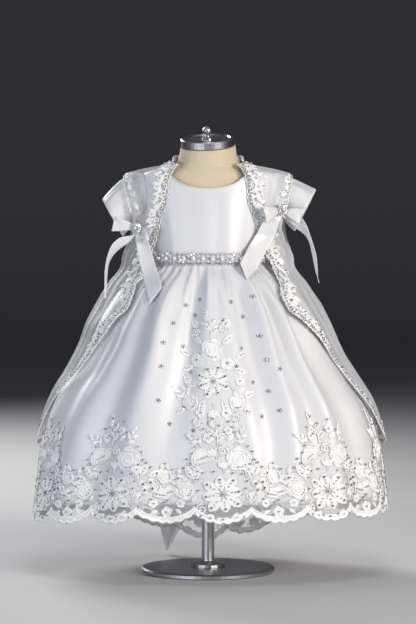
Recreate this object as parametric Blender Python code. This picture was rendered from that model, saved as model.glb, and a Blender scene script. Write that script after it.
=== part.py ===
"""Christening gown with a sheer lace-edged cape, on a limbless infant dress form and stand.

Metres, +Z up, the front faces -Y and +X is to the viewer's right. The origin is the middle of the
base's underside. Cloth is a closed wall on one family of level sections, the table GOWN. An angle
of 0 is the centre front, +90 the side at +X and 180 the centre back.
"""

from collections import namedtuple
from math import cos, pi, radians, sin, tan

import bmesh
import bpy
import numpy as np
from mathutils import Matrix, Vector

# ---------------------------------------------------------------- driving dimensions

SEAM_GAP = 0.0003
WAIST = 0.443
SATIN = 0.0020
LACE = 0.0012
ORGANZA = 0.0012
RIBBON = 0.0012
SQUARENESS = 2.2
MIDDLE_DROP = 0.0300

Section = namedtuple("Section", "height half_width front back shift")
GOWN = (
    Section(0.6000, 0.0445, 0.0440, 0.0440, 0.000),
    Section(0.5870, 0.0465, 0.0465, 0.0460, 0.000),
    Section(0.5795, 0.0510, 0.0490, 0.0475, 0.000),
    Section(0.5770, 0.0620, 0.0515, 0.0495, 0.000),
    Section(0.5730, 0.0770, 0.0540, 0.0520, 0.000),
    Section(0.5670, 0.0905, 0.0570, 0.0550, 0.000),
    Section(0.5550, 0.0910, 0.0600, 0.0590, 0.000),
    Section(0.5250, 0.0875, 0.0650, 0.0635, 0.000),
    Section(0.5000, 0.0855, 0.0680, 0.0655, 0.000),
    Section(0.4700, 0.0825, 0.0705, 0.0670, 0.000),
    Section(0.4430, 0.0810, 0.0720, 0.0680, 0.000),
    Section(0.4360, 0.0840, 0.0755, 0.0730, 0.000),
    Section(0.4270, 0.0930, 0.0850, 0.0850, 0.000),
    Section(0.4150, 0.1080, 0.0960, 0.0990, 0.000),
    Section(0.4000, 0.1210, 0.1060, 0.1110, 0.000),
    Section(0.3790, 0.1375, 0.1170, 0.1250, 0.001),
    Section(0.3550, 0.1520, 0.1290, 0.1380, 0.001),
    Section(0.3300, 0.1640, 0.1390, 0.1480, 0.002),
    Section(0.3090, 0.1760, 0.1470, 0.1560, 0.002),
    Section(0.2880, 0.1900, 0.1550, 0.1630, 0.003),
    Section(0.2670, 0.2050, 0.1630, 0.1700, 0.003),
    Section(0.2460, 0.2180, 0.1700, 0.1760, 0.004),
    Section(0.2170, 0.2300, 0.1770, 0.1820, 0.004),
    Section(0.1890, 0.2370, 0.1820, 0.1860, 0.005),
    Section(0.1320, 0.2440, 0.1870, 0.1900, 0.005),
    Section(0.0970, 0.2485, 0.1895, 0.1920, 0.005),
    Section(0.0100, 0.2520, 0.1910, 0.1940, 0.005),
)

FALL_LIMIT = 1.3
# Skirt folds: the angle of each at the waist and at the hem, its half width in degrees, how far it
# stands out (or in, below zero), and the share of the skirt's height over which it fades in.
Fold = namedtuple("Fold", "top hem spread rise fade")
FOLDS = (
    Fold(-78, -74, 9.0, 0.0040, 0.30),
    Fold(-58, -66, 6.0, -0.0045, 0.20),
    Fold(-41, -56, 7.0, 0.0055, 0.14),
    Fold(-33, -40, 5.5, -0.0050, 0.16),
    Fold(-25, -25, 6.5, 0.0060, 0.12),
    Fold(-8, -16, 5.5, -0.0070, 0.10),
    Fold(3, 2, 5.5, 0.0035, 0.08),
    Fold(14, 15, 5.0, 0.0045, 0.14),
    Fold(22, 20, 5.0, -0.0045, 0.12),
    Fold(31, 28, 5.5, 0.0065, 0.10),
    Fold(37, 35, 5.0, -0.0050, 0.18),
    Fold(43, 44, 5.0, 0.0065, 0.14),
    Fold(51, 53, 6.0, -0.0055, 0.16),
    Fold(63, 62, 7.5, 0.0050, 0.24),
    Fold(80, 77, 8.0, -0.0035, 0.30),
    Fold(101, 103, 8.0, 0.0045, 0.22),
    Fold(117, 116, 6.5, -0.0055, 0.16),
    Fold(131, 129, 6.0, 0.0055, 0.12),
    Fold(146, 148, 6.5, -0.0055, 0.16),
    Fold(160, 163, 6.0, 0.0050, 0.12),
    Fold(178, 176, 6.0, -0.0050, 0.14),
    Fold(194, 192, 6.0, 0.0050, 0.12),
    Fold(209, 212, 6.5, -0.0055, 0.16),
    Fold(226, 228, 6.0, 0.0050, 0.14),
    Fold(243, 242, 7.0, -0.0050, 0.20),
    Fold(262, 260, 8.0, 0.0040, 0.26),
)

# Neck edge of the bodice: height against the column's angle.
NeckEdge = namedtuple("NeckEdge", "angle height")
FRONT_NECK = (
    NeckEdge(0, 0.5470),
    NeckEdge(14, 0.5485),
    NeckEdge(28, 0.5540),
    NeckEdge(34, 0.5600),
    NeckEdge(38, 0.5690),
    NeckEdge(46, 0.5745),
    NeckEdge(56, 0.5778),
    NeckEdge(72, 0.5790),
    NeckEdge(90, 0.5795),
)
BACK_NECK = (
    NeckEdge(90, 0.5795),
    NeckEdge(112, 0.5770),
    NeckEdge(140, 0.5710),
    NeckEdge(180, 0.5670),
)

ARMHOLE_HEIGHT = 0.5440
ARMHOLE_HALF_HEIGHT = 0.0215
ARMHOLE_HALF_ANGLE = 17.0
DEGREE_LENGTH = 0.00108

# Sleeve cuffs: the ring's outer and lower ends as seen from the front.
Sleeve = namedtuple("Sleeve", "side name top_x top_z bottom_x bottom_z half_depth puff")
SLEEVES = (
    Sleeve(-1, "left", 0.147, 0.531, 0.120, 0.482, 0.031, 0.003),
    Sleeve(1, "right", 0.150, 0.544, 0.122, 0.489, 0.032, 0.003),
)

# Front halves of the cape: each row runs from the lace front edge to the outer edge, which is the
# arm opening down to the bow and the join with the back below it. Each end has its angle, its
# height and how far the organza stands off the gown; the crown lifts the middle of the row.
CapeRow = namedtuple("CapeRow", "in_angle in_z in_clear out_angle out_z out_clear crown")
CAPE_FRONT = (
    CapeRow(90, 0.5830, 0.0030, 90, 0.5650, 0.0270, 0.0040),
    CapeRow(64, 0.5805, 0.0036, 85, 0.5625, 0.0270, 0.0030),
    CapeRow(48, 0.5793, 0.0052, 81, 0.5600, 0.0275, 0.0025),
    CapeRow(34, 0.5680, 0.0024, 78, 0.5560, 0.0280, 0.0020),
    CapeRow(36, 0.5540, 0.0022, 73, 0.5440, 0.0290, 0.0010),
    CapeRow(39, 0.5300, 0.0020, 69, 0.5280, 0.0290, 0.0000),
    CapeRow(46, 0.5100, 0.0020, 67, 0.5100, 0.0280, 0.0000),
    CapeRow(51, 0.4940, 0.0022, 67, 0.4920, 0.0270, 0.0000),
    CapeRow(57, 0.4730, 0.0040, 82, 0.4760, 0.0270, 0.0000),
    CapeRow(61, 0.4570, 0.0075, 97, 0.4620, 0.0360, 0.0000),
    CapeRow(64, 0.4400, 0.0170, 100, 0.4440, 0.0430, 0.0000),
    CapeRow(58, 0.4170, 0.0100, 100, 0.4150, 0.0320, 0.0000),
    CapeRow(53, 0.3980, 0.0060, 100, 0.3930, 0.0270, 0.0000),
    CapeRow(51, 0.3800, 0.0045, 100, 0.3700, 0.0230, 0.0000),
    CapeRow(56, 0.3630, 0.0084, 100, 0.3450, 0.0210, 0.0000),
    CapeRow(64, 0.3300, 0.0080, 100, 0.2980, 0.0170, 0.0000),
    CapeRow(70, 0.2920, 0.0045, 100, 0.2500, 0.0145, 0.0000),
    CapeRow(75, 0.2680, 0.0045, 100, 0.2250, 0.0135, 0.0000),
    CapeRow(84, 0.2280, 0.0060, 100, 0.1940, 0.0120, 0.0000),
    CapeRow(90, 0.2030, 0.0075, 100, 0.1820, 0.0110, 0.0000),
)
# Back of the cape above that join: its side edge runs along the shoulder and behind the sleeve.
CapeBackRow = namedtuple("CapeBackRow", "side_angle side_z side_clear back_z back_clear")
CAPE_SHOULDERS = (
    CapeBackRow(90, 0.5830, 0.0030, 0.5750, 0.0040),
    CapeBackRow(90, 0.5800, 0.0100, 0.5680, 0.0060),
    CapeBackRow(90, 0.5710, 0.0220, 0.5530, 0.0100),
    CapeBackRow(90, 0.5650, 0.0270, 0.5450, 0.0120),
    CapeBackRow(104, 0.5550, 0.0270, 0.5330, 0.0140),
    CapeBackRow(109, 0.5350, 0.0275, 0.5170, 0.0170),
    CapeBackRow(108, 0.5100, 0.0270, 0.4990, 0.0220),
    CapeBackRow(103, 0.4840, 0.0290, 0.4800, 0.0300),
)
# Centre back of the rows that the back shares with the front halves, from the join down.
CapeCentre = namedtuple("CapeCentre", "back_z back_clear")
CAPE_CENTRE = (
    CapeCentre(0.4610, 0.0400),
    CapeCentre(0.4420, 0.0430),
    CapeCentre(0.4130, 0.0330),
    CapeCentre(0.3880, 0.0240),
    CapeCentre(0.3600, 0.0200),
    CapeCentre(0.3320, 0.0185),
    CapeCentre(0.2780, 0.0175),
    CapeCentre(0.2260, 0.0165),
    CapeCentre(0.2000, 0.0165),
    CapeCentre(0.1700, 0.0165),
    CapeCentre(0.1600, 0.0165),
)
JOIN_ROW = 9

EDGE_LACE_WIDTH = 0.026
EDGE_LACE_MOST = 0.6
ARM_LACE_SHARE = 0.20
ARM_LACE_ROWS = 7
COLLAR_HEIGHT = 0.0120
COLLAR_ENDS = (70, 290)
COLLAR_COLUMNS = 17
COLLAR_LIFT_BACK = 0.0006
COLLAR_LIFT_FRONT = 0.0021
# How far up the collar each row is, and how far it stands off the neck.
CollarRow = namedtuple("CollarRow", "share flare")
COLLAR_ROWS = (
    CollarRow(0.0, 0.0030),
    CollarRow(0.6, 0.0022),
    CollarRow(1.0, 0.0026),
)

# Satin hem, higher in front than at the centre back, and the lace border on it, which has ten equal
# repeats round the skirt. A repeat has one peak and two scallops, one of them under the peak.
HemPoint = namedtuple("HemPoint", "angle height")
HEM_EDGE = (
    HemPoint(-180, 0.0460),
    HemPoint(-168, 0.0570),
    HemPoint(-155, 0.0770),
    HemPoint(-130, 0.0930),
    HemPoint(-90, 0.1000),
    HemPoint(-60, 0.1075),
    HemPoint(-30, 0.1150),
    HemPoint(0, 0.1170),
    HemPoint(30, 0.1170),
    HemPoint(60, 0.1160),
    HemPoint(90, 0.1130),
    HemPoint(130, 0.0990),
    HemPoint(155, 0.0790),
    HemPoint(168, 0.0570),
    HemPoint(180, 0.0460),
)
HEM_LEVEL = 0.1070
SKIRT_SHARES = (0.0, 0.045, 0.13, 0.29, 0.60)
LACE_LEVEL = 0.0830
SKIRT_STEP = 4.5
LACE_DROP = 0.0060
SCALLOP_DEPTH = 0.0210
REPEAT_ANGLE = 36.0
REPEAT_START = 3.5
SCALLOPS_PER_REPEAT = 2
LACE_SEAM_NOTCH = 4.5
PEAK_SHARPNESS = 1.3
LACE_ROW_STEP = 0.0015
LACE_VALLEY = 0.0440
LACE_PEAK = 0.1240
LACE_LIFT = 0.0008

TRIM_LOW = 0.4403
TRIM_HIGH = 0.4585
TRIM_THICKNESS = 0.0030
TRIM_END_ANGLE = 96.0
TRIM_STEP = 8.0
BAND_EASE = 0.0023
BAND_GAP_ANGLE = 0.3

SASH_LOW = 0.4390
SASH_HIGH = 0.4640
SASH_KNOT = (0.0200, 0.0240, 0.0090)
SASH_KNOT_HEIGHT = 0.4500
SashLoop = namedtuple("SashLoop", "name reach rise width bulge lean")
SASH_LOOPS = (
    SashLoop("left", -0.060, -0.002, 0.034, 0.0060, 0),
    SashLoop("right", 0.063, -0.006, 0.034, 0.0060, 0),
)
SASH_TAIL_COLUMNS = 4
# Both sash tails lie on the back of the skirt: the two edges of each, seen from the front.
TailRow = namedtuple("TailRow", "left_x left_z right_x right_z clear")
SASH_TAILS = {
    "left": (
        TailRow(-0.0095, 0.4300, -0.0010, 0.4300, 0.0045),
        TailRow(-0.0240, 0.4150, -0.0040, 0.4140, 0.0030),
        TailRow(-0.0360, 0.3900, -0.0070, 0.3880, 0.0020),
        TailRow(-0.0430, 0.3550, -0.0090, 0.3530, 0.0018),
        TailRow(-0.0480, 0.3100, -0.0120, 0.3080, 0.0018),
        TailRow(-0.0530, 0.2600, -0.0150, 0.2580, 0.0018),
        TailRow(-0.0570, 0.2000, -0.0180, 0.1980, 0.0024),
        TailRow(-0.0620, 0.1400, -0.0220, 0.1400, 0.0040),
        TailRow(-0.0660, 0.0850, -0.0260, 0.0900, 0.0040),
        TailRow(-0.0690, 0.0400, -0.0300, 0.0560, 0.0040),
        TailRow(-0.0610, 0.0060, -0.0580, 0.0060, 0.0040),
    ),
    "right": (
        TailRow(0.0010, 0.4300, 0.0095, 0.4300, 0.0045),
        TailRow(0.0040, 0.4140, 0.0230, 0.4150, 0.0030),
        TailRow(0.0070, 0.3880, 0.0330, 0.3900, 0.0020),
        TailRow(0.0080, 0.3530, 0.0400, 0.3550, 0.0018),
        TailRow(0.0090, 0.3080, 0.0430, 0.3100, 0.0018),
        TailRow(0.0100, 0.2580, 0.0450, 0.2600, 0.0018),
        TailRow(0.0110, 0.1980, 0.0470, 0.2000, 0.0024),
        TailRow(0.0130, 0.1400, 0.0485, 0.1400, 0.0031),
        TailRow(0.0150, 0.0850, 0.0495, 0.0850, 0.0031),
        TailRow(0.0170, 0.0660, 0.0500, 0.0500, 0.0031),
        TailRow(0.0455, 0.0310, 0.0480, 0.0310, 0.0031),
    ),
}

# Shoulder bows: where each knot lies on its half of the cape, as a row of CAPE_FRONT and a share of
# that row. Loops are given as seen from the front: how far out and up each goes, its width and how
# far its two layers stand apart, and the angle at which it leans away from the cloth.
Bow = namedtuple("Bow", "side name row share lift")
BOWS = (
    Bow(-1, "left", 7.05, 0.83, 0.0016),
    Bow(1, "right", 5.58, 0.83, 0.0022),
)
KNOT = (0.0110, 0.0100, 0.0048)
KNOT_ROUNDING_SHARE = 0.25
BROOCH_RADIUS = 0.0082
BROOCH_HEIGHT = 0.0046
BROOCH_EDGE_SHARE = 0.35
BROOCH_FOOT_SHARE = 0.55
BROOCH_STEPS = 4
BOW_REACH = 0.1
BowLoop = namedtuple("BowLoop", "bow name reach rise width bulge lean")
BOW_LOOPS = (
    BowLoop("left", "outer", -0.031, 0.006, 0.022, 0.0045, 14),
    BowLoop("left", "inner", 0.023, -0.009, 0.019, 0.0045, 12),
    BowLoop("right", "inner", -0.030, -0.007, 0.023, 0.0045, 2),
    BowLoop("right", "outer", 0.024, -0.010, 0.025, 0.0045, 29),
)
LOOP_ROWS = 9
RIBBON_COLUMNS = 3
LOOP_PINCH_SHARE = 0.75
LOOP_LAYER_SHARE = 0.85
LOOP_ROUNDNESS = 0.7
LOOP_SPRING = 0.9
# Ribbon tails of the shoulder bows. Each starts under its knot, between two places across it, and
# runs down through rows that give both its edges.
TailStart = namedtuple("TailStart", "bow name left right")
TAIL_STARTS = (
    TailStart("left", "tail_front", -0.0020, 0.0052),
    TailStart("left", "tail_outer", -0.0054, -0.0028),
    TailStart("right", "tail_front", -0.0054, 0.0012),
    TailStart("right", "tail_outer", 0.0022, 0.0054),
)
TAIL_DROP = 0.0045
TAIL_DEPTH_SHARE = 0.4
RibbonRow = namedtuple("RibbonRow", "left_x left_y left_z right_x right_y right_z")
BOW_TAILS = {
    "left_tail_front": (
        RibbonRow(-0.1015, -0.0427, 0.4760, -0.0860, -0.0481, 0.4780),
        RibbonRow(-0.0984, -0.0540, 0.4564, -0.0781, -0.0590, 0.4564),
        RibbonRow(-0.0935, -0.0600, 0.4330, -0.0715, -0.0670, 0.4330),
        RibbonRow(-0.0885, -0.0740, 0.4130, -0.0655, -0.0880, 0.4150),
        RibbonRow(-0.0810, -0.0990, 0.3870, -0.0638, -0.0925, 0.4100),
    ),
    "left_tail_outer": (
        RibbonRow(-0.1207, -0.0440, 0.4786, -0.1108, -0.0400, 0.4715),
        RibbonRow(-0.1320, -0.0460, 0.4700, -0.1250, -0.0360, 0.4615),
        RibbonRow(-0.1390, -0.0470, 0.4587, -0.1340, -0.0340, 0.4510),
        RibbonRow(-0.1450, -0.0470, 0.4417, -0.1385, -0.0320, 0.4380),
        RibbonRow(-0.1477, -0.0470, 0.4246, -0.1390, -0.0310, 0.4218),
        RibbonRow(-0.1478, -0.0470, 0.4070, -0.1400, -0.0330, 0.4060),
        RibbonRow(-0.1450, -0.0460, 0.3920, -0.1435, -0.0440, 0.3930),
    ),
    "right_tail_front": (
        RibbonRow(0.0810, -0.0520, 0.5060, 0.1000, -0.0470, 0.4990),
        RibbonRow(0.0700, -0.0530, 0.4870, 0.0930, -0.0470, 0.4800),
        RibbonRow(0.0600, -0.0590, 0.4710, 0.0830, -0.0530, 0.4630),
        RibbonRow(0.0505, -0.0715, 0.4540, 0.0665, -0.0700, 0.4325),
        RibbonRow(0.0444, -0.0760, 0.4430, 0.0540, -0.0880, 0.4207),
    ),
    "right_tail_outer": (
        RibbonRow(0.1160, -0.0335, 0.4980, 0.1190, -0.0362, 0.5060),
        RibbonRow(0.1245, -0.0310, 0.4900, 0.1275, -0.0390, 0.5080),
        RibbonRow(0.1335, -0.0290, 0.4830, 0.1380, -0.0400, 0.4970),
        RibbonRow(0.1400, -0.0290, 0.4755, 0.1440, -0.0420, 0.4800),
        RibbonRow(0.1440, -0.0290, 0.4660, 0.1480, -0.0450, 0.4670),
        RibbonRow(0.1455, -0.0320, 0.4500, 0.1540, -0.0470, 0.4490),
        RibbonRow(0.1480, -0.0350, 0.4320, 0.1570, -0.0480, 0.4250),
        RibbonRow(0.1550, -0.0440, 0.4150, 0.1560, -0.0460, 0.4140),
    ),
}

FORM_COLUMNS = 40
Torso = namedtuple("Torso", "height half_width front back")
TORSO = (
    Torso(0.3000, 0.0600, 0.0500, 0.0500),
    Torso(0.3060, 0.0680, 0.0570, 0.0570),
    Torso(0.3200, 0.0735, 0.0620, 0.0630),
    Torso(0.3600, 0.0770, 0.0660, 0.0660),
    Torso(0.4100, 0.0765, 0.0670, 0.0650),
    Torso(0.4470, 0.0760, 0.0670, 0.0635),
    Torso(0.5000, 0.0805, 0.0630, 0.0610),
    Torso(0.5300, 0.0830, 0.0590, 0.0575),
    Torso(0.5500, 0.0840, 0.0540, 0.0530),
    Torso(0.5600, 0.0825, 0.0505, 0.0490),
    Torso(0.5660, 0.0775, 0.0480, 0.0460),
    Torso(0.5700, 0.0715, 0.0465, 0.0445),
    Torso(0.5735, 0.0620, 0.0450, 0.0430),
    Torso(0.5765, 0.0500, 0.0440, 0.0420),
    Torso(0.5820, 0.0445, 0.0425, 0.0415),
    Torso(0.5950, 0.0405, 0.0400, 0.0400),
    Torso(0.6060, 0.0388, 0.0388, 0.0388),
)
NECK_TILT = radians(10)
NECK_ROLL = radians(-2.5)
CAP_RADIUS = 0.0382
CAP_HEIGHT = 0.0120
CAP_ROUNDING = 0.0012
CAP_RIM = 0.0060
CAP_STEP = 0.0010
CAP_RECESS = 0.0016
# Finial: half widths and heights above the cap's recess, then the ball on its stem.
FINIAL_FOOT = (0.0080, 0.0015)
FINIAL_STEM = (0.0032, 0.0030)
FINIAL_BALL = 0.0065
FINIAL_BALL_HEIGHT = 0.0115
FINIAL_BALL_START = -60
FINIAL_BALL_STEPS = 9

BASE_RADIUS = 0.0950
BASE_THICKNESS = 0.0080
BASE_ROUNDING = 0.0020
POST_RADIUS = 0.0090
POST_FLANGE_RADIUS = 0.0240
POST_FLANGE_THICKNESS = 0.0040

BUTTON_RADIUS = 0.0042
BUTTON_HEIGHT = 0.0024
BUTTON_HEIGHTS = (0.480, 0.512, 0.544)
# A button's side: shares of its radius and of its height.
BUTTON_PROFILE = ((0, 0), (0.8, 0), (1, 0.35), (0.8, 0.8), (0, 1))

BODICE_ANGLES = (0, 12, 24, 33, 38, 48, 62, 76, 90)
BODICE_LEVELS = (0.483, 0.5225, 0.531, 0.544, 0.557, 0.5655, 0.573, 0.5795)
BACK_ANGLES = (0, 20, 40, 58, 74, 90)
SEAM_ANGLE = 0.11
SIDE_SEAM_ANGLE = 0.165
SLEEVE_COLUMNS = 16
SLEEVE_OUTER_SHARE = 0.75
SLEEVE_SHARES = (0.0, 0.3, 0.65, 1.0)
CAPE_FOLD_SHARE = 0.6
CAPE_BACK_COLUMNS = 14
CAPE_BACK_FOLDS = 3.5
CAPE_BACK_SPREAD = 1.2
CAPE_FOLD_RISE = 0.0050
CAPE_FOLD_START = 0.5600
CAPE_FOLD_FADE = 0.1600

# ---------------------------------------------------------------- materials

Finish = namedtuple("Finish", "colour roughness metallic")
FINISHES = {
    "satin": Finish((0.88, 0.88, 0.92), 0.32, 0.0),
    "organza": Finish((0.90, 0.90, 0.92), 0.45, 0.0),
    "lace": Finish((0.93, 0.93, 0.94), 0.70, 0.0),
    "ribbon": Finish((0.92, 0.92, 0.90), 0.30, 0.0),
    "beading": Finish((0.80, 0.79, 0.74), 0.25, 0.3),
    "linen": Finish((0.78, 0.70, 0.55), 0.90, 0.0),
    "steel": Finish((0.62, 0.62, 0.63), 0.30, 1.0),
}


def material(finish_name):
    """The material of one finish, made on its first use."""
    found = bpy.data.materials.get(finish_name)
    if found:
        return found
    finish = FINISHES[finish_name]
    made = bpy.data.materials.new(finish_name)
    made.use_nodes = True
    shader = made.node_tree.nodes["Principled BSDF"]
    shader.inputs["Base Color"].default_value = (*finish.colour, 1)
    shader.inputs["Roughness"].default_value = finish.roughness
    shader.inputs["Metallic"].default_value = finish.metallic
    return made


def add_object(name, mesh, finish_name, smooth_below=radians(40)):
    """A mesh as one named piece with its finish, smooth where its faces turn gently."""
    mesh.materials.append(material(finish_name))
    mesh.shade_smooth()
    mesh.set_sharp_from_angle(angle=smooth_below)
    piece = bpy.data.objects.new(name, mesh)
    bpy.context.scene.collection.objects.link(piece)
    return piece


# ---------------------------------------------------------------- level sections and surfaces


def column_of(table, column, places):
    """One column of a table as a smooth curve through its rows, read at the places given."""
    rows = sorted(table, key=lambda row: row[0])
    x = np.array([row[0] for row in rows], float)
    y = np.array([getattr(row, column) for row in rows], float)
    step = np.diff(x)
    slope = np.diff(y) / step
    near, far = slope[:-1], slope[1:]
    weight_near = 2 * step[1:] + step[:-1]
    weight_far = step[1:] + 2 * step[:-1]
    same_way = near * far > 0
    safe_near = np.where(same_way, near, 1.0)
    safe_far = np.where(same_way, far, 1.0)
    inner = (weight_near + weight_far) / (weight_near / safe_near + weight_far / safe_far)
    tangent = np.concatenate([slope[:1], np.where(same_way, inner, 0.0), slope[-1:]])
    places = np.clip(places, x[0], x[-1])
    i = np.clip(np.searchsorted(x, places, side="right") - 1, 0, len(step) - 1)
    t = (places - x[i]) / step[i]
    start = (1 + 2 * t) * (1 - t) ** 2 * y[i] + t * (1 - t) ** 2 * step[i] * tangent[i]
    end = t**2 * (3 - 2 * t) * y[i + 1] - t**2 * (1 - t) * step[i] * tangent[i + 1]
    return start + end


def level_point(table, angles, heights, clear=0.0):
    """Points on the level sections of a table, moved out level by clear."""
    angles, heights, clear = np.broadcast_arrays(
        np.asarray(angles, float), np.asarray(heights, float), np.asarray(clear, float)
    )
    side = np.sin(np.radians(angles))
    ahead = np.cos(np.radians(angles))
    roundness = (abs(side) ** SQUARENESS + abs(ahead) ** SQUARENESS) ** (-1 / SQUARENESS)
    half_width = column_of(table, "half_width", heights)
    front = column_of(table, "front", heights)
    back = column_of(table, "back", heights)
    depth = np.where(ahead > 0, front, back)
    x = (half_width * roundness + clear) * side
    y = -(depth * roundness + clear) * ahead
    return np.stack([x, y, heights], axis=-1)


def smooth_step(share):
    share = np.clip(share, 0, 1)
    return share * share * (3 - 2 * share)


def fold_rise(angles, heights):
    """How far the skirt's folds stand out at the points given."""
    fall = np.clip((WAIST - heights) / (WAIST - HEM_LEVEL), 0, FALL_LIMIT)
    rise = np.zeros(np.shape(fall))
    for fold in FOLDS:
        middle = fold.top + (fold.hem - fold.top) * fall
        away = (angles - middle + 180) % 360 - 180
        rise = rise + fold.rise * smooth_step(fall / fold.fade) * np.exp(-((away / fold.spread) ** 2))
    return rise


def gown_point(angles, heights, clear=0.0, fold_share=1.0):
    """Points on the gown's outer face, moved out level by clear."""
    angles, heights = np.broadcast_arrays(np.asarray(angles, float), np.asarray(heights, float))
    points = level_point(GOWN, angles, heights, clear + fold_share * fold_rise(angles, heights))
    points[..., 0] += column_of(GOWN, "shift", heights)
    return points


def gown_normal(angles, heights):
    """Outward normals of the gown's outer face."""
    turn, rise = 0.4, 0.0004
    across = gown_point(angles + turn, heights) - gown_point(angles - turn, heights)
    up = gown_point(angles, heights + rise) - gown_point(angles, heights - rise)
    normal = np.cross(across, up)
    return normal / np.linalg.norm(normal, axis=-1, keepdims=True)


def panel_point(angles, heights):
    """Points on the skirt's flat facets between its columns, so that what lies on it follows them."""
    low = np.floor((angles - REPEAT_START) / SKIRT_STEP) * SKIRT_STEP + REPEAT_START
    share = ((angles - low) / SKIRT_STEP)[..., None]
    return gown_point(low, heights) * (1 - share) + gown_point(low + SKIRT_STEP, heights) * share


def grid_normal(points):
    """Normals of a grid of points, turned away from the gown's middle line."""
    normal = np.cross(np.gradient(points, axis=1), np.gradient(points, axis=0))
    normal /= np.linalg.norm(normal, axis=-1, keepdims=True)
    middle = points * (0, 0, 1) - (0, 0, MIDDLE_DROP)
    inward = np.sum(normal * (points - middle), axis=-1, keepdims=True) < 0
    return np.where(inward, -normal, normal)


def wall(name, outer, inner, finish_name, closed=False):
    """A closed wall between two grids of points, rows by columns. A closed one joins its last column
    to its first."""
    rows, columns = outer.shape[:2]
    spans = columns if closed else columns - 1
    corners = np.concatenate([outer.reshape(-1, 3), inner.reshape(-1, 3)])
    under = rows * columns

    def at(row, column):
        return row * columns + column % columns

    faces = []
    for row in range(rows - 1):
        for column in range(spans):
            one, two = at(row, column), at(row, column + 1)
            three, four = at(row + 1, column + 1), at(row + 1, column)
            for half in ((one, two, three), (one, three, four)):
                faces.append(half)
                faces.append(tuple(corner + under for corner in reversed(half)))
    for row in (0, rows - 1):
        for column in range(spans):
            one, two = at(row, column), at(row, column + 1)
            faces.append((one, two, two + under, one + under))
    if not closed:
        for column in (0, columns - 1):
            for row in range(rows - 1):
                one, two = at(row, column), at(row + 1, column)
                faces.append((one, two, two + under, one + under))
    return closed_mesh(name, corners, faces, finish_name)


def closed_mesh(name, corners, faces, finish_name):
    """A mesh with all its faces turned outwards, as one piece."""
    mesh = bpy.data.meshes.new(name)
    mesh.from_pydata([tuple(corner) for corner in corners], [], faces)
    shape = bmesh.new()
    shape.from_mesh(mesh)
    bmesh.ops.recalc_face_normals(shape, faces=shape.faces)
    if shape.calc_volume(signed=True) < 0:
        bmesh.ops.reverse_faces(shape, faces=shape.faces)
    shape.to_mesh(mesh)
    shape.free()
    return add_object(name, mesh, finish_name)


# ---------------------------------------------------------------- dress form and stand


def loft(name, rings, finish_name):
    """A solid through rings of equally many points, with flat ends."""
    rows, columns = rings.shape[:2]
    faces = [tuple(range(columns)), tuple((rows - 1) * columns + i for i in range(columns))]
    for row in range(rows - 1):
        for column in range(columns):
            here = row * columns + column
            beside = row * columns + (column + 1) % columns
            faces.append((here, beside, beside + columns, here + columns))
    return closed_mesh(name, rings.reshape(-1, 3), faces, finish_name)


def turned(name, profile, finish_name, steps=40):
    """A solid turned about Z from (radius, height) points, bottom to top, both ends on the axis."""
    shape = bmesh.new()
    corners = [shape.verts.new((radius, 0, height)) for radius, height in profile]
    for one, two in zip(corners, corners[1:]):
        shape.edges.new((one, two))
    bmesh.ops.spin(
        shape, geom=shape.verts[:] + shape.edges[:], axis=(0, 0, 1), cent=(0, 0, 0), angle=2 * pi, steps=steps
    )
    bmesh.ops.remove_doubles(shape, verts=shape.verts, dist=1e-6)
    bmesh.ops.recalc_face_normals(shape, faces=shape.faces)
    mesh = bpy.data.meshes.new(name)
    shape.to_mesh(mesh)
    shape.free()
    return add_object(name, mesh, finish_name)


def neck_frame():
    """The neck's tilted top, as a placement whose +Z is the neck's own axis."""
    top = TORSO[-1].height
    tilt = Matrix.Rotation(NECK_TILT, 4, "X") @ Matrix.Rotation(NECK_ROLL, 4, "Y")
    return Matrix.Translation((0, 0, top)) @ tilt


def dress_form():
    """The torso, with its top ring tilted like the neck, the steel cap on it and the finial."""
    turns = np.arange(FORM_COLUMNS) * 360 / FORM_COLUMNS
    rings = np.stack([level_point(TORSO, turns, row.height) for row in TORSO])
    frame = neck_frame()
    for point in rings[-1]:
        flat = Vector((point[0], point[1], 0))
        point[:] = frame @ flat
    loft("form_torso", rings, "linen")

    cap_profile = (
        (0, SEAM_GAP),
        (CAP_RADIUS - CAP_ROUNDING, SEAM_GAP),
        (CAP_RADIUS, SEAM_GAP + CAP_ROUNDING),
        (CAP_RADIUS, CAP_HEIGHT - CAP_ROUNDING),
        (CAP_RADIUS - CAP_ROUNDING, CAP_HEIGHT),
        (CAP_RADIUS - CAP_RIM, CAP_HEIGHT),
        (CAP_RADIUS - CAP_RIM - CAP_STEP, CAP_HEIGHT - CAP_RECESS),
        (0, CAP_HEIGHT - CAP_RECESS),
    )
    turned("form_neck_cap", cap_profile, "steel", 48).matrix_world = frame

    seat = CAP_HEIGHT - CAP_RECESS + SEAM_GAP
    foot, stem, ball = FINIAL_FOOT, FINIAL_STEM, FINIAL_BALL
    middle = seat + FINIAL_BALL_HEIGHT
    turns = np.radians(np.linspace(FINIAL_BALL_START, 90, FINIAL_BALL_STEPS + 1)[:-1])
    finial_profile = [(0, seat), (foot[0], seat), (foot[0], seat + foot[1]), (stem[0], seat + stem[1])]
    finial_profile += [(ball * cos(turn), middle + ball * sin(turn)) for turn in turns]
    finial_profile += [(0, middle + ball)]
    turned("form_finial", finial_profile, "steel", 24).matrix_world = frame


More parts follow.
